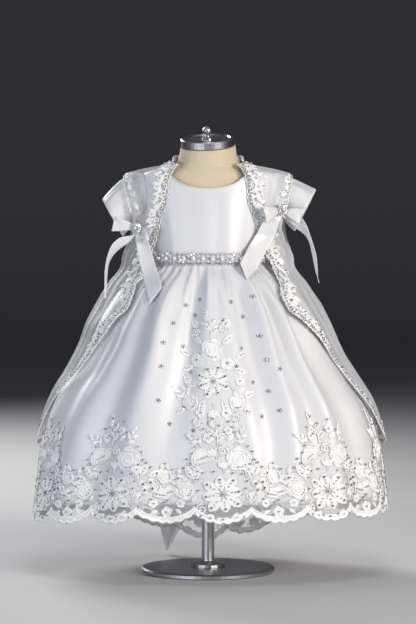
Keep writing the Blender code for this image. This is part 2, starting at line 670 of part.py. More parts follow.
def stand():
    """The post under the torso and the round base it stands on."""
    edge = BASE_ROUNDING
    base_profile = (
        (0, 0),
        (BASE_RADIUS - edge, 0),
        (BASE_RADIUS, edge),
        (BASE_RADIUS, BASE_THICKNESS - edge),
        (BASE_RADIUS - edge, BASE_THICKNESS),
        (0, BASE_THICKNESS),
    )
    turned("form_base", base_profile, "steel", 64)
    low, high = BASE_THICKNESS + SEAM_GAP, TORSO[0].height - SEAM_GAP
    flange, neck = POST_FLANGE_RADIUS, POST_FLANGE_THICKNESS
    post_profile = (
        (0, low),
        (flange, low),
        (flange, low + neck),
        (POST_RADIUS, low + 2 * neck),
        (POST_RADIUS, high),
        (0, high),
    )
    turned("form_post", post_profile, "steel", 32)


# ---------------------------------------------------------------- bodice, sleeves and skirt


def side_length(heights):
    """Length along the bodice's side profile from its lowest level, at the heights given."""
    levels = np.linspace(WAIST, GOWN[0].height, 600)
    outline = np.stack([column_of(GOWN, "half_width", levels), levels], axis=-1)
    lengths = np.concatenate([[0], np.cumsum(np.linalg.norm(np.diff(outline, axis=0), axis=-1))])
    return np.interp(heights, levels, lengths)


def height_at(lengths):
    """The height on the side profile at each length along it."""
    levels = np.linspace(WAIST, GOWN[0].height, 600)
    return np.interp(lengths, side_length(levels), levels)


def armhole_angle(heights):
    """The angle at which a bodice panel ends: the side seam, or the edge of the armhole."""
    share = (heights - ARMHOLE_HEIGHT) / ARMHOLE_HALF_HEIGHT
    return 90 - ARMHOLE_HALF_ANGLE * np.sqrt(np.clip(1 - share**2, 0, 1))


def bodice_grid(from_middle, neck, middle):
    """Angles and heights of a bodice panel whose columns lie at these angles from its middle."""
    low = WAIST + SEAM_GAP / 2
    start = side_length(low)
    share = (side_length(np.array((low, *BODICE_LEVELS))) - start) / (side_length(BODICE_LEVELS[-1]) - start)
    edge_angles = np.abs(from_middle) if middle == 0 else 180 - np.abs(from_middle)
    tops = side_length(column_of(neck, "height", edge_angles))
    heights = height_at(start + share[:, None] * (tops - start)[None, :])
    angles = middle + from_middle[None, :] * armhole_angle(heights) / 90
    return angles, heights


def bodice_panel(name, from_middle, neck, middle):
    """One bodice panel, as a wall inward from the gown's outer face."""
    angles, heights = bodice_grid(np.array(from_middle, float), neck, middle)
    outer = gown_point(angles, heights)
    wall(name, outer, outer - gown_normal(angles, heights) * SATIN, "satin")


def bodice():
    """A front panel, and two back panels that meet at the centre back with three small buttons."""
    right_half = np.array(BODICE_ANGLES, float)
    right_half[-1] -= SIDE_SEAM_ANGLE
    bodice_panel("bodice_front", np.concatenate([-right_half[:0:-1], right_half]), FRONT_NECK, 0)
    back_half = np.array(BACK_ANGLES, float)
    back_half[0] += SEAM_ANGLE
    back_half[-1] -= SIDE_SEAM_ANGLE
    bodice_panel("bodice_back_right", -back_half, BACK_NECK, 180)
    bodice_panel("bodice_back_left", back_half, BACK_NECK, 180)
    for number, height in enumerate(BUTTON_HEIGHTS, 1):
        seat = Vector(gown_point(180.0, height))
        out = Vector(gown_normal(np.array(180.0), np.array(height)))
        profile = [(BUTTON_RADIUS * width, BUTTON_HEIGHT * rise) for width, rise in BUTTON_PROFILE]
        button = turned(f"back_button_{number}", profile, "satin", 12)
        button.location = seat + out * SEAM_GAP
        button.rotation_euler = out.to_track_quat("Z", "Y").to_euler()


def armhole_ring(side, turns, margin, clear):
    """Points round the armhole's edge, moved out in the bodice's face by margin and off it by clear."""
    angles = 90 - (ARMHOLE_HALF_ANGLE + margin / DEGREE_LENGTH) * np.cos(turns)
    heights = ARMHOLE_HEIGHT + (ARMHOLE_HALF_HEIGHT + margin) * np.sin(turns)
    return gown_point(side * angles, heights) + gown_normal(side * angles, heights) * clear


def sleeve_face(sleeve, margin):
    """One face of a sleeve, from the armhole to its cuff, moved out by margin in each ring's plane."""
    turns = np.arange(SLEEVE_COLUMNS) * 2 * pi / SLEEVE_COLUMNS
    start = armhole_ring(sleeve.side, turns, margin, SEAM_GAP + 0.0002)
    top = np.array((sleeve.side * sleeve.top_x, 0, sleeve.top_z))
    bottom = np.array((sleeve.side * sleeve.bottom_x, 0, sleeve.bottom_z))
    middle, half = (top + bottom) / 2, (top - bottom) / 2
    along = half * (1 + margin / np.linalg.norm(half))
    forward = np.array((0, -(sleeve.half_depth + margin), 0))
    cuff = middle + np.sin(turns)[:, None] * along + np.cos(turns)[:, None] * forward
    rows = []
    for share in SLEEVE_SHARES:
        ring = start * (1 - share) + cuff * share
        lift = sleeve.puff * sin(pi * share)
        ring = ring + np.sin(turns)[:, None].clip(0) * np.array((0, 0, lift))
        rows.append(ring)
    return np.stack(rows)


def sleeves():
    """Two short sleeves that widen from the armhole to an open cuff."""
    for sleeve in SLEEVES:
        outer = sleeve_face(sleeve, SATIN * SLEEVE_OUTER_SHARE)
        inner = sleeve_face(sleeve, -SATIN * (1 - SLEEVE_OUTER_SHARE))
        wall(f"sleeve_{sleeve.name}", outer, inner, "satin", closed=True)


def hem_height(angles):
    """Height of the satin hem, level in front and lower towards the centre back."""
    return column_of(HEM_EDGE, "height", (angles + 180) % 360 - 180)


def skirt_columns(first, last):
    """Angles of a skirt panel's columns: its two side edges, and even steps from the lace's repeat."""
    before = np.ceil((first - REPEAT_START) / SKIRT_STEP) * SKIRT_STEP + REPEAT_START
    steps = np.arange(before, last, SKIRT_STEP)
    return np.concatenate([[first + SEAM_ANGLE], steps, [last - SEAM_ANGLE]])


def skirt():
    """Front and back of the gathered skirt. The row at the lace's level follows the hem."""
    for name, first, last in (("skirt_front", -90, 90), ("skirt_back", 90, 270)):
        angles = skirt_columns(first, last)
        hem = hem_height(angles)
        top = WAIST - SEAM_GAP / 2
        rows = [top - (top - hem - LACE_LEVEL) * share for share in SKIRT_SHARES]
        heights = np.stack([*rows, hem + LACE_LEVEL, hem])
        grid = np.broadcast_to(angles, heights.shape)
        outer = gown_point(grid, heights)
        wall(name, outer, outer - gown_normal(grid, heights) * SATIN, "satin")


def hem_lace():
    """The lace border on the skirt, from its peaks and valleys down to its scallops below the hem."""
    seam = REPEAT_START + REPEAT_ANGLE / SCALLOPS_PER_REPEAT * LACE_SEAM_NOTCH
    for name, first, last in (("hem_lace_front", seam - 180, seam), ("hem_lace_back", seam, seam + 180)):
        angles = np.arange(first, last + SKIRT_STEP / 2, SKIRT_STEP)
        angles[0] += SEAM_ANGLE
        angles[-1] -= SEAM_ANGLE
        repeat = (angles - REPEAT_START) / REPEAT_ANGLE
        hem = hem_height(angles)
        scallop = np.abs(np.cos(pi * SCALLOPS_PER_REPEAT * repeat))
        bottom = hem - LACE_DROP - SCALLOP_DEPTH * scallop
        peak = (0.5 + 0.5 * np.cos(2 * pi * repeat)) ** PEAK_SHARPNESS
        top = hem + LACE_VALLEY + (LACE_PEAK - LACE_VALLEY) * peak
        level = np.minimum(hem + LACE_LEVEL, top - LACE_ROW_STEP)
        heights = np.stack([top, level, hem, bottom])
        grid = np.broadcast_to(angles, heights.shape)
        face = panel_point(grid, heights)
        out = gown_normal(grid, heights)
        gap = SEAM_GAP + LACE_LIFT * np.array((1, 1, 0, 0))[:, None, None]
        wall(name, face + out * (gap + LACE), face + out * gap, "lace")


def waist_band(name, first, last, low, high, thickness, finish_name):
    """A band round the waist, upright on the widest level that it covers."""
    angles = np.linspace(first, last, round((last - first) / TRIM_STEP) + 1)
    levels = np.array((low, high))
    grid = np.broadcast_to(angles, (2, len(angles)))
    widest = level_point(GOWN, angles, low, BAND_EASE)
    face = np.stack([widest, widest])
    face[..., 2] = levels[:, None]
    out = gown_normal(grid, np.full(grid.shape, SASH_HIGH)) * (1, 1, 0)
    out /= np.linalg.norm(out, axis=-1, keepdims=True)
    wall(name, face + out * (SEAM_GAP + thickness), face + out * SEAM_GAP, finish_name)


# ---------------------------------------------------------------- cape


def cape_front_places(rows, shares):
    """Angle, height and clearance at shares of the cape's front rows. Row numbers may lie between."""
    numbers = np.arange(len(CAPE_FRONT))

    def read(column):
        return np.interp(rows, numbers, [getattr(row, column) for row in CAPE_FRONT])[:, None]

    angles = read("in_angle") + (read("out_angle") - read("in_angle")) * shares
    heights = read("in_z") + (read("out_z") - read("in_z")) * shares
    clear = read("in_clear") + (read("out_clear") - read("in_clear")) * shares
    return angles, heights + read("crown") * np.sin(pi * shares), clear


def cape_front_points(side, rows, shares):
    angles, heights, clear = cape_front_places(rows, shares)
    return gown_point(side * angles, heights, clear, CAPE_FOLD_SHARE)


def cape_front_shares():
    """Shares of each front row for its columns: the edge lace, the arm lace and the plain organza."""
    rows = np.arange(len(CAPE_FRONT), dtype=float)
    ends = cape_front_points(1, rows, np.broadcast_to((0.0, 1.0), (len(rows), 2)))
    length = np.linalg.norm(ends[:, 1] - ends[:, 0], axis=-1)
    lace = np.minimum(EDGE_LACE_WIDTH / length, EDGE_LACE_MOST)
    arm = 1 - ARM_LACE_SHARE
    spread = [np.zeros(len(rows)), lace, (lace + arm) / 2]
    spread += [np.full(len(rows), arm), np.full(len(rows), 1.0)]
    return rows, np.stack(spread, axis=-1)


def seam_normal(edge, outward):
    """Normals along a seam that runs across Y, so that the walls on its two sides stay parallel."""
    normal = np.cross(np.gradient(edge, axis=0), (0, 1, 0))
    normal /= np.linalg.norm(normal, axis=-1, keepdims=True)
    inward = np.sum(normal * outward, axis=-1, keepdims=True) < 0
    return np.where(inward, -normal, normal)


def cape_fronts():
    """Both front halves with their edge lace, and the lace at each arm opening."""
    rows, shares = cape_front_shares()
    for side, name in ((-1, "left"), (1, "right")):
        points = cape_front_points(side, rows, shares)
        out = grid_normal(points)
        out[0] = seam_normal(points[0], out[0])
        out[JOIN_ROW:, -1] = seam_normal(points[JOIN_ROW:, -1], out[JOIN_ROW:, -1])
        points[0, :, 1] -= SEAM_GAP / 2
        points[JOIN_ROW:, -1, 1] -= SEAM_GAP / 2
        wall(f"cape_front_{name}", points, points - out * ORGANZA, "organza")
        low, high = points + out * SEAM_GAP, points + out * (SEAM_GAP + LACE)
        wall(f"cape_edge_lace_{name}", high[:, :2], low[:, :2], "lace")
        arm = slice(0, ARM_LACE_ROWS)
        wall(f"cape_arm_lace_{name}", high[arm, -2:], low[arm, -2:], "lace")


def cape_back_grid():
    """Angle, height and clearance on the cape's back, from its left side edge round to its right."""
    across = np.linspace(0, 1, CAPE_BACK_COLUMNS + 1)
    joined = [
        CapeBackRow(front.out_angle, front.out_z, front.out_clear, centre.back_z, centre.back_clear)
        for front, centre in zip(CAPE_FRONT[JOIN_ROW:], CAPE_CENTRE)
    ]
    to_back = np.sin(pi * across) ** CAPE_BACK_SPREAD
    wave = np.sin(2 * pi * CAPE_BACK_FOLDS * (across - 0.5)) * smooth_step(to_back * 2)
    angles, heights, clear = [], [], []
    for row in (*CAPE_SHOULDERS, *joined):
        fold = CAPE_FOLD_RISE * smooth_step((CAPE_FOLD_START - row.side_z) / CAPE_FOLD_FADE)
        angles.append(row.side_angle + (360 - 2 * row.side_angle) * across)
        heights.append(row.side_z + (row.back_z - row.side_z) * to_back)
        clear.append(row.side_clear + (row.back_clear - row.side_clear) * to_back + fold * wave)
    return np.array(angles), np.array(heights), np.array(clear)


def cape_back():
    """The cape's back with the lace along its hem, and the lace collar that stands round the neck."""
    angles, heights, clear = cape_back_grid()
    points = gown_point(angles, heights, clear, CAPE_FOLD_SHARE)
    out = grid_normal(points)
    for edge in (0, -1):
        out[:, edge] = seam_normal(points[:, edge], out[:, edge])
        points[:, edge, 1] += SEAM_GAP / 2
    wall("cape_back", points, points - out * ORGANZA, "organza")
    hem = slice(-3, None)
    high, low = points[hem] + out[hem] * (SEAM_GAP + LACE), points[hem] + out[hem] * SEAM_GAP
    wall("cape_hem_lace", high, low, "lace")

    round_neck = np.linspace(*COLLAR_ENDS, COLLAR_COLUMNS)
    from_side = np.clip((90 - np.abs(180 - round_neck)) / 90, 0, 1)
    foot = CAPE_SHOULDERS[0].side_z - (CAPE_SHOULDERS[0].side_z - CAPE_SHOULDERS[0].back_z) * from_side
    lift = np.where(from_side > 0, COLLAR_LIFT_BACK, COLLAR_LIFT_FRONT)
    levels = np.stack([foot + (COLLAR_HEIGHT * row.share or lift) for row in COLLAR_ROWS])
    turn = np.broadcast_to(round_neck, levels.shape)
    flare = np.array([row.flare for row in COLLAR_ROWS])[:, None]
    high = level_point(GOWN, turn, levels, flare)
    wall("cape_collar", high, level_point(GOWN, turn, levels, flare - LACE), "lace")


# ---------------------------------------------------------------- bows and sash


def ribbon_wall(name, left, right, finish_name):
    """A ribbon between two edges of equally many points, as a wall centred on them."""
    share = np.linspace(0, 1, RIBBON_COLUMNS)[None, :, None]
    middle = left[:, None] * (1 - share) + right[:, None] * share
    normal = np.cross(np.gradient(middle, axis=1), np.gradient(middle, axis=0))
    normal /= np.linalg.norm(normal, axis=-1, keepdims=True)
    wall(name, middle + normal * RIBBON / 2, middle - normal * RIBBON / 2, finish_name)


def ribbon_loop(name, frame, knot, loop, finish_name):
    """A bow loop in the knot's frame: X to the right, Y up and Z away from the cloth."""
    along = Vector((loop.reach, loop.rise, 0))
    length = along.length
    along.normalize()
    across = Vector((-along.y, along.x, 0))
    pinch, layer = knot[1] * LOOP_PINCH_SHARE, RIBBON * LOOP_LAYER_SHARE
    start = (knot[0] / 2 + pinch / 2 * abs(along.y) + 2 * SEAM_GAP) / abs(along.x)
    left, right = [], []
    for turn in np.linspace(0, pi, LOOP_ROWS):
        out = start + (length - start) * sin(turn)
        open_up = abs(sin(turn)) ** LOOP_ROUNDNESS
        swell = loop.bulge * sin(turn)
        leaning = (out - start) * tan(radians(loop.lean))
        depth = knot[2] / 2 + cos(turn) * (layer + swell) + LOOP_SPRING * swell + leaning
        half = (pinch + (loop.width - pinch) * open_up) / 2
        middle = along * out + Vector((0, 0, depth))
        left.append(frame @ (middle - across * half))
        right.append(frame @ (middle + across * half))
    ribbon_wall(name, np.array(left), np.array(right), finish_name)


def knot_block(name, frame, size, finish_name):
    """The ribbon wrapped round the middle of a bow, on the face at the frame's origin."""
    shape = bmesh.new()
    bmesh.ops.create_cube(shape, size=1.0, matrix=Matrix.Diagonal((*size, 1)))
    mesh = bpy.data.meshes.new(name)
    shape.to_mesh(mesh)
    shape.free()
    block = add_object(name, mesh, finish_name)
    block.matrix_world = frame @ Matrix.Translation((0, 0, size[2] / 2))
    rounding = block.modifiers.new("rounding", "BEVEL")
    rounding.width = size[2] * KNOT_ROUNDING_SHARE
    rounding.segments = 1


def bow_frame(bow):
    """Where a shoulder knot sits: just off the cape, with +X to the right, +Y up and +Z outwards."""
    def at(share):
        return Vector(cape_front_points(bow.side, np.array([bow.row]), np.array([[share]]))[0, 0])

    across = (at(bow.share + BOW_REACH) - at(bow.share - BOW_REACH)) * bow.side
    right = Vector((across.x, across.y, 0)).normalized()
    up = Vector((0, 0, 1))
    out = right.cross(up)
    frame = Matrix((right, up, out)).transposed().to_4x4()
    frame.translation = at(bow.share) + out * bow.lift
    return frame


def brooch(name, frame):
    """A domed cluster of pearl and stones, on top of a knot."""
    base, edge = KNOT[2] + SEAM_GAP, BROOCH_HEIGHT * BROOCH_EDGE_SHARE
    turns = np.radians(np.linspace(0, 90, BROOCH_STEPS + 1)[:-1])
    profile = [(0, base), (BROOCH_RADIUS * BROOCH_FOOT_SHARE, base)]
    dome = BROOCH_HEIGHT - edge
    profile += [(BROOCH_RADIUS * cos(turn), base + edge + dome * sin(turn)) for turn in turns]
    profile += [(0, base + BROOCH_HEIGHT)]
    turned(name, profile, "beading", 18).matrix_world = frame


def shoulder_bows():
    """A satin ribbon bow on each front of the cape, with two loops, two tails and a brooch."""
    for bow in BOWS:
        frame = bow_frame(bow)
        knot_block(f"bow_{bow.name}_knot", frame, KNOT, "ribbon")
        brooch(f"brooch_{bow.name}", frame)
        for loop in BOW_LOOPS:
            if loop.bow == bow.name:
                ribbon_loop(f"bow_{bow.name}_loop_{loop.name}", frame, KNOT, loop, "ribbon")
        for start in TAIL_STARTS:
            if start.bow == bow.name:
                ribbon_tail(f"{bow.name}_{start.name}", frame, start)


def ribbon_tail(name, frame, start):
    """A bow's tail, from under its knot through the rows of its table."""
    rows = []
    for below in (KNOT[1] / 2 + 2 * SEAM_GAP, KNOT[1] / 2 + TAIL_DROP):
        left, right = (frame @ Vector((place, -below, KNOT[2] * TAIL_DEPTH_SHARE)) for place in (start.left, start.right))
        rows.append((*left, *right))
    edges = np.array(rows + list(BOW_TAILS[name]))
    ribbon_wall(f"bow_{name}", edges[:, :3], edges[:, 3:], "ribbon")


def back_angle(x, heights):
    """The angle on the back of the gown at which its level section reaches x."""
    turns = np.linspace(90, 270, 361)
    angles = []
    for place, height in zip(np.ravel(x), np.ravel(heights)):
        reach = gown_point(turns, np.full(turns.shape, height), fold_share=0.0)[:, 0]
        angles.append(np.interp(-place, -reach, turns))
    return np.reshape(angles, np.shape(x))


def back_sash():
    """The satin sash from side seam to side seam, tied in a bow at the centre back."""
    end = TRIM_END_ANGLE + BAND_GAP_ANGLE
    waist_band("sash_band", end, 360 - end, SASH_LOW, SASH_HIGH, RIBBON, "satin")
    seat = Vector(level_point(GOWN, 180.0, SASH_LOW))
    seat.y += BAND_EASE + 2 * SEAM_GAP + RIBBON
    seat.z = SASH_KNOT_HEIGHT
    frame = Matrix(((-1, 0, 0), (0, 0, 1), (0, 1, 0))).to_4x4()
    frame.translation = seat
    knot_block("sash_knot", frame, SASH_KNOT, "satin")
    for loop in SASH_LOOPS:
        turned_round = loop._replace(reach=-loop.reach)
        ribbon_loop(f"sash_loop_{loop.name}", frame, SASH_KNOT, turned_round, "satin")
    for name, rows in SASH_TAILS.items():
        share = np.linspace(0, 1, SASH_TAIL_COLUMNS)
        left_x, left_z, right_x, right_z, clear = np.array(rows).T[..., None]
        x = left_x + (right_x - left_x) * share
        z = left_z + (right_z - left_z) * share
        angles = back_angle(x, z)
        face = panel_point(angles, z)
        out = gown_normal(angles, z)
        under = face + out * clear[..., None]
        wall(f"sash_tail_{name}", under + out * RIBBON, under, "satin")


def build():
    """Clears the scene and makes every piece."""
    for old in list(bpy.data.objects):
        bpy.data.objects.remove(old, do_unlink=True)
    dress_form()
    stand()
    bodice()
    sleeves()
    skirt()
    hem_lace()
    waist_band("waist_trim", -TRIM_END_ANGLE, TRIM_END_ANGLE, TRIM_LOW, TRIM_HIGH, TRIM_THICKNESS, "beading")
    cape_fronts()
    cape_back()
    shoulder_bows()
    back_sash()


build()
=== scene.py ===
"""Looks of the christening gown: satin, organza, lace, ribbons and beading, on its dress form.

Metres, +Z up, the front faces -Y and +X is to the viewer's right. The cloth follows the CAD part's
level sections, so their tables are repeated here. An angle of 0 is the centre front, +90 the side at
+X and 180 the centre back.
"""

from collections import namedtuple
from math import atan, cos, pi, radians, sin, tan

import bpy
import numpy as np
from mathutils import Matrix, Vector


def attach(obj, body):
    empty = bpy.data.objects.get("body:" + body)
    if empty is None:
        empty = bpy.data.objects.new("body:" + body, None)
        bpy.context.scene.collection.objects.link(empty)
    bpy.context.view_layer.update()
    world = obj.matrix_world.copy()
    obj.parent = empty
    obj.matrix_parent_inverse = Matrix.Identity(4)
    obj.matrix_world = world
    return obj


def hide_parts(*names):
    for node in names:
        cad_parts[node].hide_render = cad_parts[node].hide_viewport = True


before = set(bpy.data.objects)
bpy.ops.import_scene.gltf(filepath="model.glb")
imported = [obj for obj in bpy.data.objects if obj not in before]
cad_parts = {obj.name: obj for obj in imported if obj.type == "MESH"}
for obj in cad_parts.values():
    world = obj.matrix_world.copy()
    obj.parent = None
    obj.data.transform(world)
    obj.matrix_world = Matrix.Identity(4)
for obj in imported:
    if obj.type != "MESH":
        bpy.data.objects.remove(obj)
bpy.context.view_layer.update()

# ---------------------------------------------------------------- sizes shared with the CAD part

SEAM_GAP = 0.0003
WAIST = 0.443
RIBBON = 0.0012
SQUARENESS = 2.2

Section = namedtuple("Section", "height half_width front back shift")
GOWN = (
    Section(0.6000, 0.0445, 0.0440, 0.0440, 0.000),
    Section(0.5870, 0.0465, 0.0465, 0.0460, 0.000),
    Section(0.5795, 0.0510, 0.0490, 0.0475, 0.000),
    Section(0.5770, 0.0620, 0.0515, 0.0495, 0.000),
    Section(0.5730, 0.0770, 0.0540, 0.0520, 0.000),
    Section(0.5670, 0.0905, 0.0570, 0.0550, 0.000),
    Section(0.5550, 0.0910, 0.0600, 0.0590, 0.000),
    Section(0.5250, 0.0875, 0.0650, 0.0635, 0.000),
    Section(0.5000, 0.0855, 0.0680, 0.0655, 0.000),
    Section(0.4700, 0.0825, 0.0705, 0.0670, 0.000),
    Section(0.4430, 0.0810, 0.0720, 0.0680, 0.000),
    Section(0.4360, 0.0840, 0.0755, 0.0730, 0.000),
    Section(0.4270, 0.0930, 0.0850, 0.0850, 0.000),
    Section(0.4150, 0.1080, 0.0960, 0.0990, 0.000),
    Section(0.4000, 0.1210, 0.1060, 0.1110, 0.000),
    Section(0.3790, 0.1375, 0.1170, 0.1250, 0.001),
    Section(0.3550, 0.1520, 0.1290, 0.1380, 0.001),
    Section(0.3300, 0.1640, 0.1390, 0.1480, 0.002),
    Section(0.3090, 0.1760, 0.1470, 0.1560, 0.002),
    Section(0.2880, 0.1900, 0.1550, 0.1630, 0.003),
    Section(0.2670, 0.2050, 0.1630, 0.1700, 0.003),
    Section(0.2460, 0.2180, 0.1700, 0.1760, 0.004),
    Section(0.2170, 0.2300, 0.1770, 0.1820, 0.004),
    Section(0.1890, 0.2370, 0.1820, 0.1860, 0.005),
    Section(0.1320, 0.2440, 0.1870, 0.1900, 0.005),
    Section(0.0970, 0.2485, 0.1895, 0.1920, 0.005),
    Section(0.0100, 0.2520, 0.1910, 0.1940, 0.005),
)

FALL_LIMIT = 1.3
# Skirt folds: the angle of each at the waist and at the hem, its half width in degrees, how far it
# stands out (or in, below zero), and the share of the skirt's height over which it fades in.
Fold = namedtuple("Fold", "top hem spread rise fade")
FOLDS = (
    Fold(-78, -74, 9.0, 0.0040, 0.30),
    Fold(-58, -66, 6.0, -0.0045, 0.20),
    Fold(-41, -56, 7.0, 0.0055, 0.14),
    Fold(-33, -40, 5.5, -0.0050, 0.16),
    Fold(-25, -25, 6.5, 0.0060, 0.12),
    Fold(-8, -16, 5.5, -0.0070, 0.10),
    Fold(3, 2, 5.5, 0.0035, 0.08),
    Fold(14, 15, 5.0, 0.0045, 0.14),
    Fold(22, 20, 5.0, -0.0045, 0.12),
    Fold(31, 28, 5.5, 0.0065, 0.10),
    Fold(37, 35, 5.0, -0.0050, 0.18),
    Fold(43, 44, 5.0, 0.0065, 0.14),
    Fold(51, 53, 6.0, -0.0055, 0.16),
    Fold(63, 62, 7.5, 0.0050, 0.24),
    Fold(80, 77, 8.0, -0.0035, 0.30),
    Fold(101, 103, 8.0, 0.0045, 0.22),
    Fold(117, 116, 6.5, -0.0055, 0.16),
    Fold(131, 129, 6.0, 0.0055, 0.12),
    Fold(146, 148, 6.5, -0.0055, 0.16),
    Fold(160, 163, 6.0, 0.0050, 0.12),
    Fold(178, 176, 6.0, -0.0050, 0.14),
    Fold(194, 192, 6.0, 0.0050, 0.12),
    Fold(209, 212, 6.5, -0.0055, 0.16),
    Fold(226, 228, 6.0, 0.0050, 0.14),
    Fold(243, 242, 7.0, -0.0050, 0.20),
    Fold(262, 260, 8.0, 0.0040, 0.26),
)

NeckEdge = namedtuple("NeckEdge", "angle height")
FRONT_NECK = (
    NeckEdge(0, 0.5470),
    NeckEdge(14, 0.5485),
    NeckEdge(28, 0.5540),
    NeckEdge(34, 0.5600),
    NeckEdge(38, 0.5690),
    NeckEdge(46, 0.5745),
    NeckEdge(56, 0.5778),
    NeckEdge(72, 0.5790),
    NeckEdge(90, 0.5795),
)

BACK_NECK = (
    NeckEdge(90, 0.5795),
    NeckEdge(112, 0.5770),
    NeckEdge(140, 0.5710),
    NeckEdge(180, 0.5670),
)

ARMHOLE_HEIGHT = 0.5440
ARMHOLE_HALF_HEIGHT = 0.0215
ARMHOLE_HALF_ANGLE = 17.0
# The length of one degree round the bodice at its side.
DEGREE_LENGTH = 0.00108

# The top and bottom of each cuff as seen from the front, half its depth, and how far the sleeve's
# crown puffs up. The right sleeve sits higher, so less puff keeps its crown under the cape.
Sleeve = namedtuple("Sleeve", "side name top_x top_z bottom_x bottom_z half_depth puff")
SLEEVES = (
    Sleeve(-1, "left", 0.147, 0.531, 0.120, 0.482, 0.031, 0.0075),
    Sleeve(1, "right", 0.150, 0.544, 0.122, 0.489, 0.032, 0.0022),
)

# Front halves of the cape: each row runs from the lace front edge to the outer edge, which is the
# arm opening down to the bow and the join with the back below it. Each end has its angle, its
# height and how far the organza stands off the gown; the crown lifts the middle of the row.
CapeRow = namedtuple("CapeRow", "in_angle in_z in_clear out_angle out_z out_clear crown")
CAPE_FRONT = (
    CapeRow(90, 0.5830, 0.0030, 90, 0.5650, 0.0270, 0.0040),
    CapeRow(64, 0.5805, 0.0036, 85, 0.5625, 0.0270, 0.0030),
    CapeRow(48, 0.5793, 0.0052, 81, 0.5600, 0.0275, 0.0025),
    CapeRow(34, 0.5680, 0.0024, 78, 0.5560, 0.0280, 0.0020),
    CapeRow(36, 0.5540, 0.0022, 73, 0.5440, 0.0290, 0.0010),
    CapeRow(39, 0.5300, 0.0020, 69, 0.5280, 0.0290, 0.0000),
    CapeRow(46, 0.5100, 0.0020, 67, 0.5100, 0.0280, 0.0000),
    CapeRow(51, 0.4940, 0.0022, 67, 0.4920, 0.0270, 0.0000),
    CapeRow(57, 0.4730, 0.0040, 82, 0.4760, 0.0270, 0.0000),
    CapeRow(61, 0.4570, 0.0075, 97, 0.4620, 0.0360, 0.0000),
    CapeRow(64, 0.4400, 0.0170, 100, 0.4440, 0.0430, 0.0000),
    CapeRow(58, 0.4170, 0.0100, 100, 0.4150, 0.0320, 0.0000),
    CapeRow(53, 0.3980, 0.0060, 100, 0.3930, 0.0270, 0.0000),
    CapeRow(51, 0.3800, 0.0045, 100, 0.3700, 0.0230, 0.0000),
    CapeRow(56, 0.3630, 0.0084, 100, 0.3450, 0.0210, 0.0000),
    CapeRow(64, 0.3300, 0.0080, 100, 0.2980, 0.0170, 0.0000),
    CapeRow(70, 0.2920, 0.0045, 100, 0.2500, 0.0145, 0.0000),
    CapeRow(75, 0.2680, 0.0045, 100, 0.2250, 0.0135, 0.0000),
    CapeRow(84, 0.2280, 0.0060, 100, 0.1940, 0.0120, 0.0000),
    CapeRow(90, 0.2030, 0.0075, 100, 0.1820, 0.0110, 0.0000),
)

# Back of the cape above that join: its side edge runs along the shoulder and behind the sleeve.
CapeBackRow = namedtuple("CapeBackRow", "side_angle side_z side_clear back_z back_clear")
CAPE_SHOULDERS = (
    CapeBackRow(90, 0.5830, 0.0030, 0.5750, 0.0040),
    CapeBackRow(90, 0.5800, 0.0100, 0.5680, 0.0060),
    CapeBackRow(90, 0.5710, 0.0220, 0.5530, 0.0100),
    CapeBackRow(90, 0.5650, 0.0270, 0.5450, 0.0120),
    CapeBackRow(104, 0.5550, 0.0270, 0.5330, 0.0140),
    CapeBackRow(109, 0.5350, 0.0275, 0.5170, 0.0170),
    CapeBackRow(108, 0.5100, 0.0270, 0.4990, 0.0220),
    CapeBackRow(103, 0.4840, 0.0290, 0.4800, 0.0300),
)

# Centre back of the rows that the back shares with the front halves, from the join down.
CapeCentre = namedtuple("CapeCentre", "back_z back_clear")
CAPE_CENTRE = (
    CapeCentre(0.4610, 0.0400),
    CapeCentre(0.4420, 0.0430),
    CapeCentre(0.4130, 0.0330),
    CapeCentre(0.3880, 0.0240),
    CapeCentre(0.3600, 0.0200),
    CapeCentre(0.3320, 0.0185),
    CapeCentre(0.2780, 0.0175),
    CapeCentre(0.2260, 0.0165),
    CapeCentre(0.2000, 0.0165),
    CapeCentre(0.1700, 0.0165),
    CapeCentre(0.1600, 0.0165),
)

JOIN_ROW = 9
ARM_LACE_ROWS = 7

COLLAR_HEIGHT = 0.0120
COLLAR_ENDS = (70, 290)
COLLAR_LIFT_BACK = 0.0006
COLLAR_LIFT_FRONT = 0.0021
# How far up the collar each row is, and how far it stands off the neck.
CollarRow = namedtuple("CollarRow", "share flare")
COLLAR_ROWS = (
    CollarRow(0.0, 0.0030),
    CollarRow(0.6, 0.0022),
    CollarRow(1.0, 0.0026),
)

# Satin hem, higher in front than at the centre back, and the lace border on it, which has ten equal
# repeats round the skirt. A repeat has one peak and two scallops, one of them under the peak.
HemPoint = namedtuple("HemPoint", "angle height")
HEM_EDGE = (
    HemPoint(-180, 0.0460),
    HemPoint(-168, 0.0570),
    HemPoint(-155, 0.0770),
    HemPoint(-130, 0.0930),
    HemPoint(-90, 0.1000),
    HemPoint(-60, 0.1075),
    HemPoint(-30, 0.1150),
    HemPoint(0, 0.1170),
    HemPoint(30, 0.1170),
    HemPoint(60, 0.1160),
    HemPoint(90, 0.1130),
    HemPoint(130, 0.0990),
    HemPoint(155, 0.0790),
    HemPoint(168, 0.0570),
    HemPoint(180, 0.0460),
)
HEM_LEVEL = 0.1070
LACE_DROP = 0.0060
SCALLOP_DEPTH = 0.0210
REPEAT_ANGLE = 36.0
REPEAT_START = 3.5
SCALLOPS_PER_REPEAT = 2
LACE_SEAM_NOTCH = 4.5
PEAK_SHARPNESS = 1.3
LACE_VALLEY = 0.0440
LACE_PEAK = 0.1240

